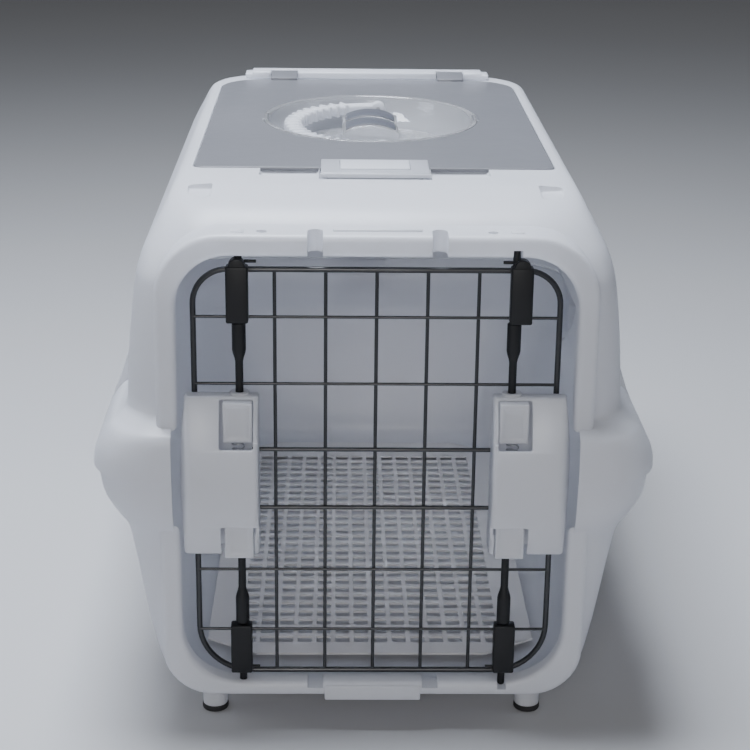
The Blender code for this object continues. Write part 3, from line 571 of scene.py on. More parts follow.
def ring_half(keep_upper):
    round_front = list(reversed(quarter(FRAME_FRONT, 0.0045)))
    bm = framed(RING, round_front + [(0.018, 0.0)])
    side = 1 if keep_upper else -1
    whole = list(bm.verts) + list(bm.edges) + list(bm.faces)
    cut = bmesh.ops.bisect_plane(bm, geom=whole, plane_co=(0, 0, SEAM_Z + side * SEAM_GAP),
                                 plane_no=(0, 0, -side), clear_outer=True)
    edges = [e for e in cut["geom_cut"] if isinstance(e, bmesh.types.BMEdge)]
    bmesh.ops.holes_fill(bm, edges=edges)
    bmesh.ops.recalc_face_normals(bm, faces=bm.faces)
    return bm


def opening_tool():
    flare = [(d, -i) for d, i in reversed(quarter(FRAME_FRONT, 0.0040))]
    return framed(OPENING, [(-0.034, -0.0040)] + flare + [(0.030, 0.0)])


def hollow(rows, floor=None, ceiling=None):
    """The room inside a shell, one wall in; a ceiling comes with a last section that is drawn in."""
    result = [[z, half - WALL, front + WALL, rear - WALL, rf - WALL, rr - WALL]
              for z, half, front, rear, rf, rr in rows]
    if floor is not None:
        result[0][0] = floor
        result = [result[0]] + [r for r in result[1:] if r[0] > floor + 0.0008]
        result[-1][0] += 0.004
    if ceiling is not None:
        result = [r for r in result if r[0] < ceiling - 0.002]
        last = result[-1]
        result.append([ceiling, last[1] - 0.014, last[2] + 0.022, last[3] - 0.008, last[4], last[5]])
        result[0][0] -= 0.004
    return loft([shell_section(r) for r in result], steps=10)


def slot_tool(x, half, d1, z0, z1):
    """An upright slot open to the front, with a round rear end."""
    rear = arc(x, DOOR_Y + d1 - half, half, 0, 180, 12)
    return prism(rear + [(x - half, DOOR_Y - 0.02), (x + half, DOOR_Y - 0.02)], "z", z0, z1)


CLIP_D = (0.115, 0.425)
CLIP_W = 0.036
PAD_HALF = CLIP_W / 2 + 0.0030
RECESS_HALF = CLIP_W / 2 + 0.0010
LUG_S = 0.0205
PIN_X = 0.1935
BACK_CLIP_D = 0.5660


def clip_frames():
    """For each clip, a function that turns (outward, along, height) into a point."""
    frames = {}
    for side, tag in SIDES:
        for d, where in zip(CLIP_D, ("front", "rear")):
            frames[tag + "_" + where] = lambda o, s, z, side=side, d=d: (side * o, DOOR_Y + d + s, z)
    frames["back"] = lambda o, s, z: (s, DOOR_Y + BACK_CLIP_D - PIN_X + o, z)
    return frames


def along_belt(outline, place, half):
    """An outline (outward, height) swept along the belt at one clip."""
    push = Vector(place(0.0, half, 0.0)) - Vector(place(0.0, -half, 0.0))
    return pushed([place(o, -half, z) for o, z in outline], push)


def at_every_clip(outline, half):
    return joined([along_belt(outline, place, half) for place in clip_frames().values()])


tub_rows = smooth_rows(TUB, 4)
lid_rows = smooth_rows(LID, 4)
print("sections", len(tub_rows), len(lid_rows))

# %% Lower shell
FEET = [(-0.1155, 0.022), (0.1155, 0.022), (-0.1155, 0.440), (0.1155, 0.440)]
BOLT_X = 0.0930
BOLT_D = -0.0045


def bolt_axis(side):
    return side * BOLT_X, DOOR_Y + BOLT_D


tub = raw("lower_moulding", loft([shell_section(r) for r in tub_rows], steps=10))
carve(tub, ring_half(False), "UNION")
carve(tub, hollow(tub_rows, floor=0.0235))
carve(tub, opening_tool())
legs = [bar("z", 0.0048, 0.0215, (x, DOOR_Y + d), 0.009, 36) for x, d in FEET]
carve(tub, joined(legs), "UNION")
carve(tub, at_every_clip(TUB_PAD, PAD_HALF), "UNION")
carve(tub, at_every_clip(RECESS, RECESS_HALF))
lugs = []
for side in (-1, 1):
    for d in CLIP_D:
        for end in (-1, 1):
            spot = d + end * LUG_S
            x0, x1 = across(side, 0.1800, 0.1975)
            lugs.append(block(x0, x1, spot - 0.002, spot + 0.002, 0.1560, 0.1660, 0.0012))
for end in (-1, 1):
    x = end * LUG_S
    lugs.append(block(x - 0.002, x + 0.002, 0.5525, 0.5690, 0.1560, 0.1660, 0.0012))
carve(tub, joined(lugs), "UNION")
sill = [slot_tool(side * 0.0412, 0.0056, 0.006, 0.0340, 0.0500) for side in (-1, 1)]
sill.append(bar("z", 0.0330, 0.0405, bolt_axis(-1), 0.0031))
sill.append(slot_tool(BOLT_X, 0.0031, BOLT_D + 0.0031, 0.0330, 0.0405))
carve(tub, joined(sill))
carve(tub, block(-0.0345, 0.0345, -0.0135, -0.004, 0.0250, 0.0362, 0.0012), "UNION")
finish(tub, "carrier", ["lower_shell"], SHELL)

# %% Upper shell
PANEL = ((-0.1315, DOOR_Y + 0.1210), (0.1315, DOOR_Y + 0.4965))


def panel_plate(grow, z0, z1):
    low = (PANEL[0][0] - grow, PANEL[0][1] - grow)
    high = (PANEL[1][0] + grow, PANEL[1][1] + grow)
    front = max(0.006 + grow, 0.002)
    radii = (front, front, 0.042 + grow, 0.042 + grow)
    return loft([(z0, low, high, radii), (z1, low, high, radii)], steps=12)


lid = raw("upper_moulding", loft([shell_section(r) for r in lid_rows], steps=10))
carve(lid, ring_half(True), "UNION")
carve(lid, hollow(lid_rows, ceiling=0.3790))
carve(lid, opening_tool())
carve(lid, at_every_clip(LID_PAD, PAD_HALF), "UNION")
carve(lid, at_every_clip(RECESS, RECESS_HALF))
carve(lid, panel_plate(-0.009, 0.35, 0.40))
carve(lid, panel_plate(0.0008, 0.3827, 0.40))
pockets = [block(-0.0400, 0.0400, 0.0865, 0.1230, 0.3812, 0.40)]
for side in (-1, 1):
    x0, x1 = across(side, 0.0405, 0.0830)
    pockets.append(block(x0, x1, 0.0965, 0.1230, 0.3812, 0.40, 0.003))
    x0, x1 = across(side, 0.1140, 0.1310)
    pockets.append(block(x0, x1, 0.0460, 0.0720, 0.3805, 0.39, 0.002))
carve(lid, joined(pockets))
ledge = [slot_tool(side * 0.0415, 0.0052, 0.006, 0.3500, 0.3750) for side in (-1, 1)]
ledge += [bar("z", 0.3630, 0.3750, (side * 0.0770, DOOR_Y - 0.001), 0.0036) for side in (-1, 1)]
ledge.append(bar("z", 0.3520, 0.3600, bolt_axis(-1), 0.0031))
ledge.append(slot_tool(BOLT_X, 0.0031, BOLT_D + 0.0031, 0.3520, 0.3600))
carve(lid, joined(ledge))
VENTS, VENT_PITCH = 8, 0.022
ALONG_X = Matrix(((0, 0, 1, 0), (1, 0, 0, 0), (0, 1, 0, 0), (0, 0, 0, 1)))
vents = []
for k in range(VENTS):
    y = DOOR_Y + 0.200 + k * VENT_PITCH
    bm = loft([(h, (y - 0.0035, 0.262), (y + 0.0035, 0.312), (0.0034,) * 4) for h in (-0.22, 0.22)], steps=5)
    bmesh.ops.transform(bm, matrix=ALONG_X, verts=bm.verts)
    vents.append(bm)
carve(lid, joined(vents))
trim = [block(-0.0300, 0.0300, -0.0010, 0.0060, 0.3680, 0.3712, 0.0012)]
for side in (-1, 1):
    trim.append(block(side * 0.0935 - 0.0045, side * 0.0935 + 0.0045, -0.0045, 0.0035, 0.3680, 0.3704,
                      0.0008))
trim.append(block(-0.0290, 0.0240, 0.5615, 0.5650, 0.1985, 0.2080, 0.0010))
carve(lid, joined(trim), "UNION")
finish(lid, "carrier", ["upper_shell"], SHELL)
print("shell faces", made)

# %% [markdown]
# ## Floor mat and feet
# The mat is one moulded sheet pierced by 14 by 27 slots. A grid with one cell per slot is inset cell by
# cell; the inner faces are removed, and the outer edge is drawn out to the mat's border before the sheet
# gets its thickness.

# %% Floor mat
PITCH = 0.01435
COLUMNS, ROWS = 14, 27
BRIDGE = 0.00258
MAT_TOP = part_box("floor_mat")[1].z
MAT_HALF, MAT_CORNER, MAT_THICK = 0.1243, 0.024, 0.0016
MAT_START, MAT_END = -ROWS * PITCH / 2 - 0.0150, ROWS * PITCH / 2 + 0.0340


def pierced_mat():
    bm = bmesh.new()
    bmesh.ops.create_grid(bm, x_segments=COLUMNS, y_segments=ROWS, size=0.5)
    bmesh.ops.scale(bm, vec=(COLUMNS * PITCH, ROWS * PITCH, 1.0), verts=bm.verts)
    slots = bmesh.ops.inset_individual(bm, faces=list(bm.faces), thickness=BRIDGE)["faces"]
    inner = [f for f in bm.faces if f not in set(slots)]
    for f in inner:
        middle = f.calc_center_median()
        for v in f.verts:
            v.co.y = middle.y + (v.co.y - middle.y) * 0.85
    corners = [v for f in inner for v in f.verts]
    bmesh.ops.bevel(bm, geom=corners, offset=0.0011, segments=2, profile=0.5, affect="VERTICES", material=-1)
    holes = [f for f in bm.faces if len(f.verts) == 12]
    bmesh.ops.delete(bm, geom=holes, context="FACES")
    wide = COLUMNS * PITCH / 2 - 0.001
    deep = ROWS * PITCH / 2 - 0.001
    rim = [e for e in bm.edges if e.is_boundary
           and all(abs(v.co.x) > wide or abs(v.co.y) > deep for v in e.verts)]
    grown = bmesh.ops.extrude_edge_only(bm, edges=rim)["geom"]
    for v in [g for g in grown if isinstance(g, bmesh.types.BMVert)]:
        x, y = v.co.x, v.co.y
        if abs(x) > wide:
            x = math.copysign(MAT_HALF, x)
        if abs(y) > deep:
            y = MAT_END if y > 0 else MAT_START
        past = max(0.0, abs(x) - (MAT_HALF - MAT_CORNER))
        drop = MAT_CORNER - math.sqrt(max(MAT_CORNER ** 2 - past ** 2, 0.0))
        y = max(min(y, MAT_END - drop), MAT_START + drop)
        v.co = (x, y, 0.0)
    bmesh.ops.translate(bm, vec=(0, DOOR_Y + 0.0640 + ROWS * PITCH / 2, MAT_TOP), verts=bm.verts)
    bmesh.ops.recalc_face_normals(bm, faces=bm.faces)
    if sum(f.normal.z for f in bm.faces) < 0:
        bmesh.ops.reverse_faces(bm, faces=bm.faces)
    return bm


mat = raw("slotted_mat", pierced_mat())
thick = mat.modifiers.new("Thickness", "SOLIDIFY")
thick.thickness = MAT_THICK
thick.offset = -1.0
settle(mat)
finish(mat, "carrier", ["floor_mat"], MAT)
print("mat faces", made["slotted_mat"], "top at", round(MAT_TOP, 4))

# %% Rubber feet
for k, (x, d) in enumerate(FEET):
    pad = turned([(0.0, 0.0), (0.0080, 0.0), (0.0092, 0.0006), (0.0096, 0.0016), (0.0096, 0.0032),
                  (0.0093, 0.0045), (0.0, 0.0045)], (x, DOOR_Y + d))
    finish(raw("rubber_foot_%d" % (k + 1), pad), "carrier", ["foot_pad_%d" % (k + 1)], RUBBER)

# %% [markdown]
# ## The wire door
# The door is welded from round wire: one thick loop, uprights behind and rails in front. A curve with a
# round bevel is the natural tool; it is turned into a mesh, and its place stays in the mesh.

# %% Wire door
PLANE = (wires[0].y + wires[1].y) / 2
LOOP_HALF = wires[1].x - 0.0020
LOOP_Z = (wires[0].z + 0.0020, wires[1].z - 0.0020)
RAILS = [(0.3098, 0.00105), (0.2620, 0.00105), (0.2138, 0.0015), (0.1702, 0.0015), (0.1225, 0.00105),
         (0.0754, 0.00105)]


def wire(points, radius, closed=False):
    data = bpy.data.curves.new("wire", "CURVE")
    data.dimensions = "3D"
    line = data.splines.new("POLY")
    line.points.add(len(points) - 1)
    for p, (x, y, z) in zip(line.points, points):
        p.co = (x, y, z, 1.0)
    line.use_cyclic_u = closed
    data.bevel_depth = radius
    data.bevel_resolution = 5
    data.use_fill_caps = not closed
    obj = bpy.data.objects.new("wire", data)
    bpy.context.collection.objects.link(obj)
    graph = bpy.context.evaluated_depsgraph_get()
    mesh = bpy.data.meshes.new_from_object(obj.evaluated_get(graph))
    bm = bmesh.new()
    bm.from_mesh(mesh)
    bmesh.ops.remove_doubles(bm, verts=bm.verts, dist=1e-6)
    bpy.data.objects.remove(obj, do_unlink=True)
    return bm


def loop_path():
    corners = [(-1, 0, 0.036, 180), (1, 0, 0.036, 270), (1, 1, 0.024, 0), (-1, 1, 0.024, 90)]
    path = []
    for side, top, r, start in corners:
        cx = side * (LOOP_HALF - r)
        cz = LOOP_Z[1] - r if top else LOOP_Z[0] + r
        path += [(x, PLANE, z) for x, z in arc(cx, cz, r, start, start + 90, 12)]
    return path


strands = [wire(loop_path(), 0.0020, closed=True)]
for k in range(-2, 3):
    strands.append(wire([(k * 0.0345, PLANE + 0.0007, z) for z in (LOOP_Z[0], LOOP_Z[1])], 0.00125))
for z, radius in RAILS:
    reach = LOOP_HALF if radius < 0.0012 else 0.0850
    strands.append(wire([(x, PLANE - 0.0008, z) for x in (-reach, reach)], radius))
door = raw("wire_door", joined(strands))
finish(door, "door", ["door_grille"], WIRE, angle=50.0)
print("wire door faces", made["wire_door"])

# %% [markdown]
# ## Lock housings
# Each housing is a shallow box. Its outer side is part of a circle about the bolt, so that it turns past
# the jamb, and its front bulges: furthest out at mid height, back towards the wires at both ends. A plan
# is drawn at each height and the plans are bridged.

# %% Housing
HOUSE_Z = (0.1405, 0.2565)
CROWN_OF_HOUSE = 0.1980
KNOB_X = 0.0940
SWING_R = 0.0418
SKIN = 0.0022
HOUSE_REAR = -0.0013
SCREW_X = 0.1080


def bulge(z):
    """Depth of the front at a height, and how much the outer side is drawn in."""
    end = 1 if z > CROWN_OF_HOUSE else 0
    away = ((z - CROWN_OF_HOUSE) / (HOUSE_Z[end] - CROWN_OF_HOUSE)) ** 2
    return -0.0280 + (0.0140, 0.0160)[end] * away, (0.0018, 0.0045)[end] * away


def spread(low, high, steps):
    return [low + (high - low) * k / steps for k in range(steps + 1)]


def housing_plan(side, z):
    """The outline of a housing at a height: outer arc, rounded front corner, inner side."""
    depth, drawn_in = bulge(z)
    reach = SWING_R - drawn_in
    ahead, behind = depth - BOLT_D, HOUSE_REAR - BOLT_D
    stop = math.degrees(math.asin(-ahead / reach))
    start = -math.degrees(math.asin(behind / reach))
    outer = [(BOLT_X + reach * math.cos(math.radians(a)), -reach * math.sin(math.radians(a)))
             for a in spread(start, stop, 12)]
    corner_x, corner_d = outer[-1]
    plan = [q for q in outer[:-1] if q[1] > corner_d + 0.0022]
    low = plan[-1]
    plan += [((1 - t) ** 2 * low[0] + 2 * t * (1 - t) * corner_x + t ** 2 * (corner_x - 0.0035),
              (1 - t) ** 2 * low[1] + 2 * t * (1 - t) * corner_d + t ** 2 * corner_d)
             for t in spread(0.14, 1.0, 6)]
    plan = resample(plan, 18)
    plan += arc(0.0835, corner_d + 0.0035, 0.0035, 270, 180, 6)
    plan.append((0.0800, behind))
    return [(side * x, DOOR_Y + BOLT_D + d, z) for x, d in plan]


def resample(path, count):
    """The same line through an even number of points, so that plans can be bridged."""
    run = [0.0]
    for a, b in zip(path, path[1:]):
        run.append(run[-1] + math.dist(a, b))
    points, k = [], 0
    for goal in spread(0.0, run[-1], count):
        while k < len(run) - 2 and run[k + 1] < goal:
            k += 1
        t = (goal - run[k]) / max(run[k + 1] - run[k], 1e-9)
        points.append(tuple(p + (q - p) * min(max(t, 0.0), 1.0) for p, q in zip(path[k], path[k + 1])))
    return points


def bridged(plans):
    bm = bmesh.new()
    return bridge(bm, [bm.faces.new([bm.verts.new(p) for p in plan]) for plan in plans])


def house_room(side, x0, x1, z0, z1):
    """The hollow behind a stretch of a housing's front."""
    profile = [(DOOR_Y + bulge(z)[0] + SKIN, z) for z in spread(z0, z1, 10)]
    profile += [(DOOR_Y + 0.001, z1), (DOOR_Y + 0.001, z0)]
    low, high = across(side, x0, x1)
    return prism(profile, "x", low, high)


def round_ends(bm):
    """Round the rims of a housing's top and bottom."""
    rim = [e for e in bm.edges if len({round(v.co.z, 5) for v in e.verts}) == 1
           and min(abs(e.verts[0].co.z - z) for z in HOUSE_Z) < 1e-5]
    bmesh.ops.bevel(bm, geom=rim, offset=0.0014, segments=4, profile=0.5, affect="EDGES", material=-1)


for side, tag in SIDES:
    cover = raw("housing_" + tag, bridged([housing_plan(side, z) for z in spread(*HOUSE_Z, 26)]))
    rework(cover, round_ends)
    carve(cover, joined([house_room(side, 0.0822, 0.1225, z0, z1)
                         for z0, z1 in ((0.2005, 0.2543), (0.1427, 0.1985))]))
    x0, x1 = across(side, 0.0832, 0.1066)
    carve(cover, joined([block(x0, x1, -0.031, -0.0100, 0.2222, 0.2548, 0.0018),
                         block(x0, x1, -0.031, 0.0010, 0.1360, 0.1645, 0.0014)]))
    x0, x1 = across(side, 0.0780, 0.0845)
    carve(cover, joined([block(x0, x1, -0.031, -0.0222, 0.2268, 0.2548, 0.0008),
                         block(x0, x1, -0.031, -0.0190, 0.1360, 0.1645, 0.0008)]))
    ring = bar("z", 0.2540, 0.2582, bolt_axis(side), 0.0068, 40, 0.0006)
    carve(cover, ring, "UNION")
    carve(cover, bar("z", 0.2520, 0.2620, bolt_axis(side), 0.0033))
    finish(cover, "door", ["lock_cover_" + tag], SHELL, edge=0.0006)
    x0, x1 = across(side, 0.0800, 0.1320)
    plate_bm = block(x0, x1, 0.0034, 0.0055, HOUSE_Z[0], HOUSE_Z[1] - 0.0035, 0.0008)
    finish(raw("housing_back_" + tag, plate_bm), "door", ["lock_back_" + tag], SHELL)
    for k, z in enumerate((HOUSE_Z[0] + 0.012, HOUSE_Z[1] - 0.012)):
        x = side * SCREW_X
        head = raw("screw_%s_%d" % (tag, k + 1),
                   bar("y", DOOR_Y + 0.0058, DOOR_Y + 0.0076, (x, z), 0.003, edge=0.0005))
        for a, b in ((0.0017, 0.0003), (0.0003, 0.0017)):
            carve(head, block(x - a, x + a, 0.0070, 0.0090, z - b, z + b))
        finish(head, "door", ["lock_screw_%s_%d" % (tag, k + 1)], STEEL)

# %% [markdown]
# ## Knobs, bolts and guides
# A knob is a finger plate with a shallow dish. Its bolt has a fat stretch that the guide holds, and a thin
# one that runs into the housing.

# %% Knobs, bolts and guides
def knob(side, z0, z1):
    bm = block(side * KNOB_X - 0.0100, side * KNOB_X + 0.0100, -0.0190, -0.0018, z0, z1)
    front = min(bm.faces, key=lambda f: f.calc_center_median().y)
    bmesh.ops.inset_region(bm, faces=[front], thickness=0.0030, depth=0.0)
    bmesh.ops.inset_region(bm, faces=[front], thickness=0.0020, depth=-0.0011)
    soften(bm, 0.0011, 3, 20.0)
    return bm


# radius and distance, from the tip and from the shoulder where the guide ends
BOLT_TIP = ((0.0, 0.0), (0.0017, 0.0), (0.0024, 0.0007), (0.0026, 0.0018))
BOLT_BODY = ((0.0042, 0.0001), (0.00475, 0.0008), (0.00475, 0.0195), (0.0043, 0.0220), (0.0032, 0.0255),
             (0.0027, 0.0280))
for side, tag in SIDES:
    for level in ("upper", "lower"):
        name, body = tag + "_" + level, "bolt_" + tag + "_" + level
        knob_low, knob_high = (b.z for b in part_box("knob_" + name))
        grip = raw("finger_knob_" + name, knob(side, knob_low, knob_high))
        finish(grip, body, ["knob_" + name], SHELL)
        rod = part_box("lock_rod_" + name)
        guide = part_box("rod_guide_" + name)
        up = level == "upper"
        tip, end = (rod[1].z, rod[0].z) if up else (rod[0].z, rod[1].z)
        sign = -1 if up else 1
        shoulder = guide[0].z - 0.0003 if up else guide[1].z + 0.0003
        profile = [(r, tip + sign * away) for r, away in BOLT_TIP]
        profile += [(0.0026, shoulder)] + [(r, shoulder + sign * away) for r, away in BOLT_BODY]
        profile += [(0.0027, end), (0.0, end)]
        bolt = turned(profile, bolt_axis(side))
        finish(raw("round_bolt_" + name, bolt), body, ["lock_rod_" + name], BLACK)
        mid = (guide[0].x + guide[1].x) / 2
        clamp = block(guide[0].x, guide[1].x, guide[0].y - DOOR_Y, guide[1].y - DOOR_Y,
                      guide[0].z, guide[1].z, 0.0012)
        holder = raw("bolt_guide_" + name, clamp)
        stub_z = 0.3505 if up else 0.0490
        ears = []
        if up:
            ears.append(bar("y", guide[0].y + 0.0006, guide[1].y - 0.0006, (mid, guide[1].z - 0.0006), 0.0058,
                            edge=0.0008))
        x0, x1 = across(side, abs(mid) - 0.0130, abs(mid) - 0.0050)
        ears.append(bar("x", x0, x1, (guide[0].y + 0.0045, stub_z), 0.0011, 16, 0.0004))
        for ear in ears:
            carve(holder, ear, "UNION")
        carve(holder, bar("z", guide[0].z - 0.003, guide[1].z + 0.010, bolt_axis(side), 0.0030))
        finish(holder, "door", ["rod_guide_" + name], BLACK)
print("door pieces", len(made))

# %% [markdown]
# Behind each knob stands a coil spring. It rests on the housing's middle web; on the real lock it flattens
# towards that web as the knob draws its bolt in, but here the coil keeps its shape and rides on the door.

# %% Bolt springs
COIL_TURNS, COIL_STEPS, COIL_R, COIL_WIRE = 6, 16, 0.0042, 0.0005
for side, tag in SIDES:
    for level in ("upper", "lower"):
        name = tag + "_" + level
        low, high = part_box("bolt_spring_" + name)
        helix = []
        for k, z in enumerate(spread(low.z + 0.0006, high.z - 0.0006, COIL_TURNS * COIL_STEPS)):
            a = 2 * math.pi * k / COIL_STEPS
            helix.append((side * KNOB_X + COIL_R * math.cos(a), DOOR_Y - 0.0125 + COIL_R * math.sin(a), z))
        spring = raw("coil_" + name, wire(helix, COIL_WIRE))
        finish(spring, "door", ["bolt_spring_" + name], STEEL, angle=60.0)
        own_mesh(spring)

# %% [markdown]
# ## Roof door
# The panel is one frosted plate with an oval hole, hinge tabs at the back and a small catch at each end of
# the oval. The clear dish hangs in the hole; its wall is turned on a lathe curve and then drawn out of round.

# %% Panel and dish
DISH_D = 0.3130
OUT_OF_ROUND = 0.0885 / 0.1010


def oval(bm):
    """Draw a turned piece about the dish's centre out of round."""
    bmesh.ops.transform(bm, matrix=Matrix.Diagonal((OUT_OF_ROUND, 1, 1, 1)), verts=bm.verts,
                        space=Matrix.Translation((0, -(DOOR_Y + DISH_D), 0)))
    return bm


panel = raw("roof_door_panel", panel_plate(0.0, 0.3830, 0.3860))
rework(panel, lambda bm: soften(bm, 0.0008, 3, 50.0))
HOLE = [(0.0, 0.37), (0.1013, 0.37), (0.1013, 0.3855), (0.1018, 0.40), (0.0, 0.40)]
carve(panel, oval(turned(HOLE, (0.0, DOOR_Y + DISH_D), 96)))
HINGE_D, HINGE_Z, TAB_X = 0.5070, 0.3887, 0.0765
for side in (-1, 1):
    barrel = arc(DOOR_Y + HINGE_D, HINGE_Z, 0.0030, -90, 90, 14)
    shape = [(DOOR_Y + 0.4880, 0.3845), (DOOR_Y + 0.4955, 0.3845), (DOOR_Y + 0.4955, 0.3857)] + barrel
    shape.append((DOOR_Y + 0.4880, 0.3882))
    x0, x1 = side * TAB_X - 0.0120, side * TAB_X + 0.0120
    carve(panel, prism(shape, "x", x0, x1, 0.0004, 2), "UNION")
    x0, x1 = across(side, 0.0845, 0.0895)
    carve(panel, block(x0, x1, DISH_D - 0.0125, DISH_D + 0.0125, 0.3836, 0.3866, 0.0006), "UNION")
finish(panel, "roof_door", ["roof_panel"], SMOKE)

DISH_WALL = [(0.0, 0.3611), (0.0400, 0.3611), (0.0640, 0.3614), (0.0770, 0.3640), (0.0870, 0.3700),
             (0.0940, 0.3790),
             (0.0968, 0.3855), (0.0990, 0.3868), (0.1008, 0.3860), (0.1000, 0.3810), (0.0965, 0.3715),
             (0.0890, 0.3640), (0.0785, 0.3598), (0.0640, 0.3587), (0.0400, 0.3587), (0.0, 0.3587)]
bowl = oval(turned(smooth_rows(DISH_WALL, 3), (0.0, DOOR_Y + DISH_D), 96))
finish(raw("clear_dish", bowl), "roof_door", ["roof_dish"], CLEAR, angle=60.0)

# %% Saddle and its inlays
CROWN_Z, CROWN_R = 0.3380, 0.0470
BAND_LONG = 0.0285


def arch(radius, half_angle, steps=24):
    return arc(0.0, CROWN_Z, radius, 90 + half_angle, 90 - half_angle, steps)


body_outline = [(0.0235, 0.3613), (0.0235, 0.3780)] + list(reversed(arch(CROWN_R, 29.0)))
body_outline += [(-0.0235, 0.3780), (-0.0235, 0.3613)]
saddle = raw("saddle_bridge", prism(body_outline, "y", DOOR_Y + 0.2830, DOOR_Y + 0.3570, 0.0012))
foot_low, foot_high = (-0.0300, DOOR_Y + 0.2770), (0.0380, DOOR_Y + 0.3560)
foot = loft([(z, foot_low, foot_high, (0.014,) * 4) for z in (0.3613, 0.3640)])
carve(saddle, soften(foot, 0.0010, 3, 50.0), "UNION")
for k, d in enumerate((0.2875, 0.3240)):
    ring_line = arch(0.0500, 26.3) + list(reversed(arch(0.0457, 26.3)))
    groove = prism(ring_line, "y", DOOR_Y + d - 0.0003, DOOR_Y + d + 0.0288)
    carve(saddle, groove)
    strip_line = arch(0.0478, 25.0) + list(reversed(arch(0.0460, 25.0)))
    inlay = prism(strip_line, "y", DOOR_Y + d, DOOR_Y + d + BAND_LONG, 0.0004, 2)
    finish(raw("grey_inlay_%d" % (k + 1), inlay), "roof_door", ["saddle_band_%d" % (k + 1)],
           BAND)
finish(saddle, "roof_door", ["dish_saddle"], CLEAR)

# %% [markdown]
# ## Carry handle
# The handle is a C that lies in the dish. A rounded section is carried along the C, and a row of ribs
# crosses its top for grip.

# %% Handle
HANDLE = Vector((0.008, DOOR_Y + DISH_D, 0.3775))


def c_point(t):
    return Vector((-0.0720 * abs(math.cos(t)) ** 0.9, 0.0855 * math.sin(t), 0.0))


def c_frame(t):
    ahead, behind = c_point(min(t + 0.01, 1.5 * math.pi)), c_point(max(t - 0.01, 0.5 * math.pi))
    along = (ahead - behind).normalized()
    out = Vector((along.y, -along.x, 0.0))
    turn = Matrix((out, along, Vector((0, 0, 1)))).transposed().to_4x4()
    return Matrix.Translation(HANDLE + c_point(t)) @ turn


def swept_bar(steps):
    bm = bmesh.new()
    faces = []
    for i in range(steps + 1):
        one = bmesh.new()
        plate(one, (-0.0060, -0.0042), (0.0060, 0.0042), (0.0026,) * 4, 0.0, 5)
        bmesh.ops.transform(one, matrix=c_frame(math.pi * (0.5 + i / steps)) @ STAND_UP, verts=one.verts)
        start = pour(one, bm)
        bm.faces.ensure_lookup_table()
        faces.append(bm.faces[start])
    return bridge(bm, faces)


grip = raw("carry_grip", swept_bar(48))
for end in (-1, 1):
    y0, y1 = sorted((HANDLE.y + end * 0.0795, HANDLE.y + end * 0.0900))
    carve(grip, bar("y", y0, y1, (HANDLE.x, HANDLE.z), 0.0062, 40, 0.0008), "UNION")
    carve(grip, bar("y", y0 - 0.002, y1 + 0.002, (HANDLE.x, HANDLE.z), 0.0023))
RIBS = 19
ribs = []
for k in range(RIBS):
    rib = bmesh.new()
    bmesh.ops.create_cube(rib, size=1.0)
    bmesh.ops.scale(rib, vec=(0.0146, 0.0034, 0.0106), verts=rib.verts)
    soften(rib, 0.0012, 2)
    bmesh.ops.transform(rib, matrix=c_frame(math.radians(112 + 136 * k / (RIBS - 1))), verts=rib.verts)
    ribs.append(rib)
carve(grip, joined(ribs), "UNION")
finish(grip, "carry_handle", ["handle"], SHELL)

# %% [markdown]
# ## Latch, hinge strip and clips

# %% Latch
catch = raw("latch_slide", block(-0.0390, 0.0390, 0.0875, 0.1330, 0.3863, 0.3896, 0.0009))
carve(catch, block(-0.0340, 0.0340, 0.0880, 0.0960, 0.3820, 0.3880), "UNION")
carve(catch, block(-0.0255, 0.0255, 0.0975, 0.1275, 0.3884, 0.40, 0.0010))
finish(catch, "latch_slider", ["roof_latch"], PALE)
bright = [block(-0.0250, 0.0250, 0.0980, 0.1270, 0.3886, 0.3906, 0.0007),
          block(-0.0395, 0.0395, 0.0862, 0.0874, 0.3862, 0.3892, 0.0005)]
finish(raw("latch_plate", joined(bright)), "latch_slider", ["latch_insert"], SHELL)

# %% Hinge strip
low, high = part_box("hinge_cover")
strip = raw("hinge_strip", block(low.x, high.x, low.y - DOOR_Y, high.y - DOOR_Y, low.z, high.z, 0.0016, 4))
for side in (-1, 1):
    x0, x1 = side * TAB_X - 0.0128, side * TAB_X + 0.0128
    carve(strip, block(x0, x1, 0.4975, HINGE_D + 0.0055, 0.38, 0.40))
    x0, x1 = across(side, 0.1060, 0.1140)
    carve(strip, block(x0, x1, 0.4900, 0.5300, 0.3898, 0.40, 0.0006))
finish(strip, "carrier", ["hinge_cover"], SHELL, edge=0.0004)

# %% Clips
CLIP_OUT = [(0.1999, 0.1650), (0.2021, 0.1740), (0.2028, 0.1860), (0.2000, 0.1990), (0.1950, 0.2110),
            (0.1895, 0.2245),
            (0.1835, 0.2420), (0.1800, 0.2535), (0.1778, 0.2560)]
CLIP_IN = [(0.1758, 0.2540), (0.1775, 0.2440), (0.1805, 0.2330), (0.1856, 0.2190), (0.1912, 0.2060),
           (0.1966, 0.1940),
           (0.1990, 0.1850), (0.1990, 0.1760), (0.1970, 0.1690), (0.1905, 0.1640)]
for tag, place in clip_frames().items():
    outline = arc(PIN_X, 0.1605, 0.0042, 200, 330, 12) + smooth_rows(CLIP_OUT, 3) + smooth_rows(CLIP_IN, 3)
    clip = raw("belt_clip_" + tag, along_belt(outline, place, CLIP_W / 2))
    body = "_".join(reversed(tag.split("_"))) + "_clip"
    finish(clip, body, ["clip_" + tag], SHELL, edge=0.0007, segments=3)

# %% [markdown]
# ## Finish on the parts that keep their own shape
# Pins are already the right shape; they only need steel.

# %% Steel on pins
for name, node in frame["nodes"].items():
    if name.startswith(("clip_pin", "roof_hinge_pin", "handle_pin")):
        node.data.materials.clear()
        node.data.materials.append(STEEL)
print("pieces", len(made), "faces", sum(made.values()))

# %% [markdown]
# ## Stage, light and camera

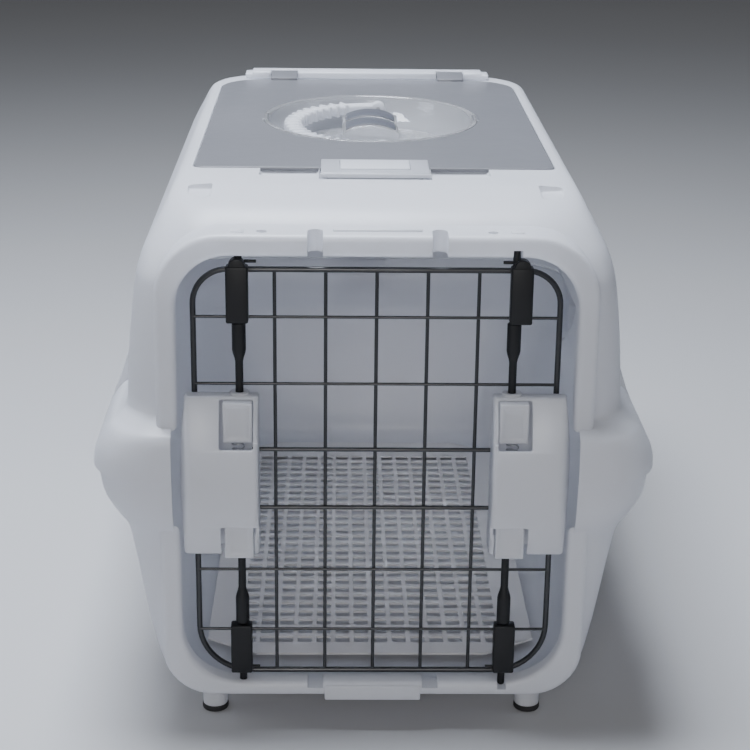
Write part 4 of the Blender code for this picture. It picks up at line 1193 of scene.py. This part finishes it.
# %% Floor
bm = bmesh.new()
bmesh.ops.create_grid(bm, x_segments=1, y_segments=1, size=6.0)
floor = raw("studio_floor", bm)
ground = Finish("floor_pale", Roughness=0.6)
ground.drive("Base Color", ground.mix(ground.noise(1.2, 3.0), (0.46, 0.46, 0.47), (0.50, 0.50, 0.51)))
floor.data.materials.append(ground.material)


# %% Lights
def softbox(name, at, aim, size, power, colour=(1.0, 1.0, 1.0)):
    data = bpy.data.lights.new(name, "AREA")
    data.shape = "RECTANGLE"
    data.size, data.size_y = size
    data.energy = power
    data.color = colour
    lamp = bpy.data.objects.new(name, data)
    bpy.context.collection.objects.link(lamp)
    lamp.location = at
    lamp.rotation_euler = (Vector(aim) - Vector(at)).to_track_quat("-Z", "Y").to_euler()


COOL = (0.84, 0.90, 1.0)
softbox("top_softbox", (-0.25, 0.05, 1.75), (0.0, 0.0, 0.3), (0.8, 0.8), 64.0, COOL)
softbox("left_softbox", (-1.5, -0.1, 0.9), (0.0, 0.0, 0.2), (0.5, 1.0), 7.0, COOL)
softbox("right_softbox", (1.5, -0.1, 0.9), (0.0, 0.0, 0.2), (0.5, 1.0), 2.5, COOL)
softbox("front_softbox", (-0.1, -2.0, 0.80), (0.0, 0.0, 0.15), (0.5, 0.5), 12.0, (1.0, 0.985, 0.975))
world = bpy.data.worlds.new("studio")
bpy.context.scene.world = world
world.use_nodes = True
sky = world.node_tree.nodes["Background"].inputs
sky["Color"].default_value = (0.96, 0.97, 1.0, 1.0)
sky["Strength"].default_value = 0.12

# %% Camera
pitch, yaw, roll = math.radians(19.11), math.radians(1.30), math.radians(0.70)
ahead = Vector((math.sin(yaw) * math.cos(pitch), math.cos(yaw) * math.cos(pitch), -math.sin(pitch)))
level = Vector((math.cos(yaw), -math.sin(yaw), 0.0))
above = level.cross(ahead)
right = level * math.cos(roll) + above * math.sin(roll)
up = above * math.cos(roll) - level * math.sin(roll)
lens = bpy.data.cameras.new("camera")
lens.sensor_width = 36.0
lens.lens = 85.25
camera = bpy.data.objects.new("camera", lens)
bpy.context.collection.objects.link(camera)
turn = Matrix((right, up, -ahead)).transposed().to_4x4()
camera.matrix_world = Matrix.Translation((-0.0267, DOOR_Y - 1.1464, 0.6659)) @ turn
bpy.context.scene.camera = camera
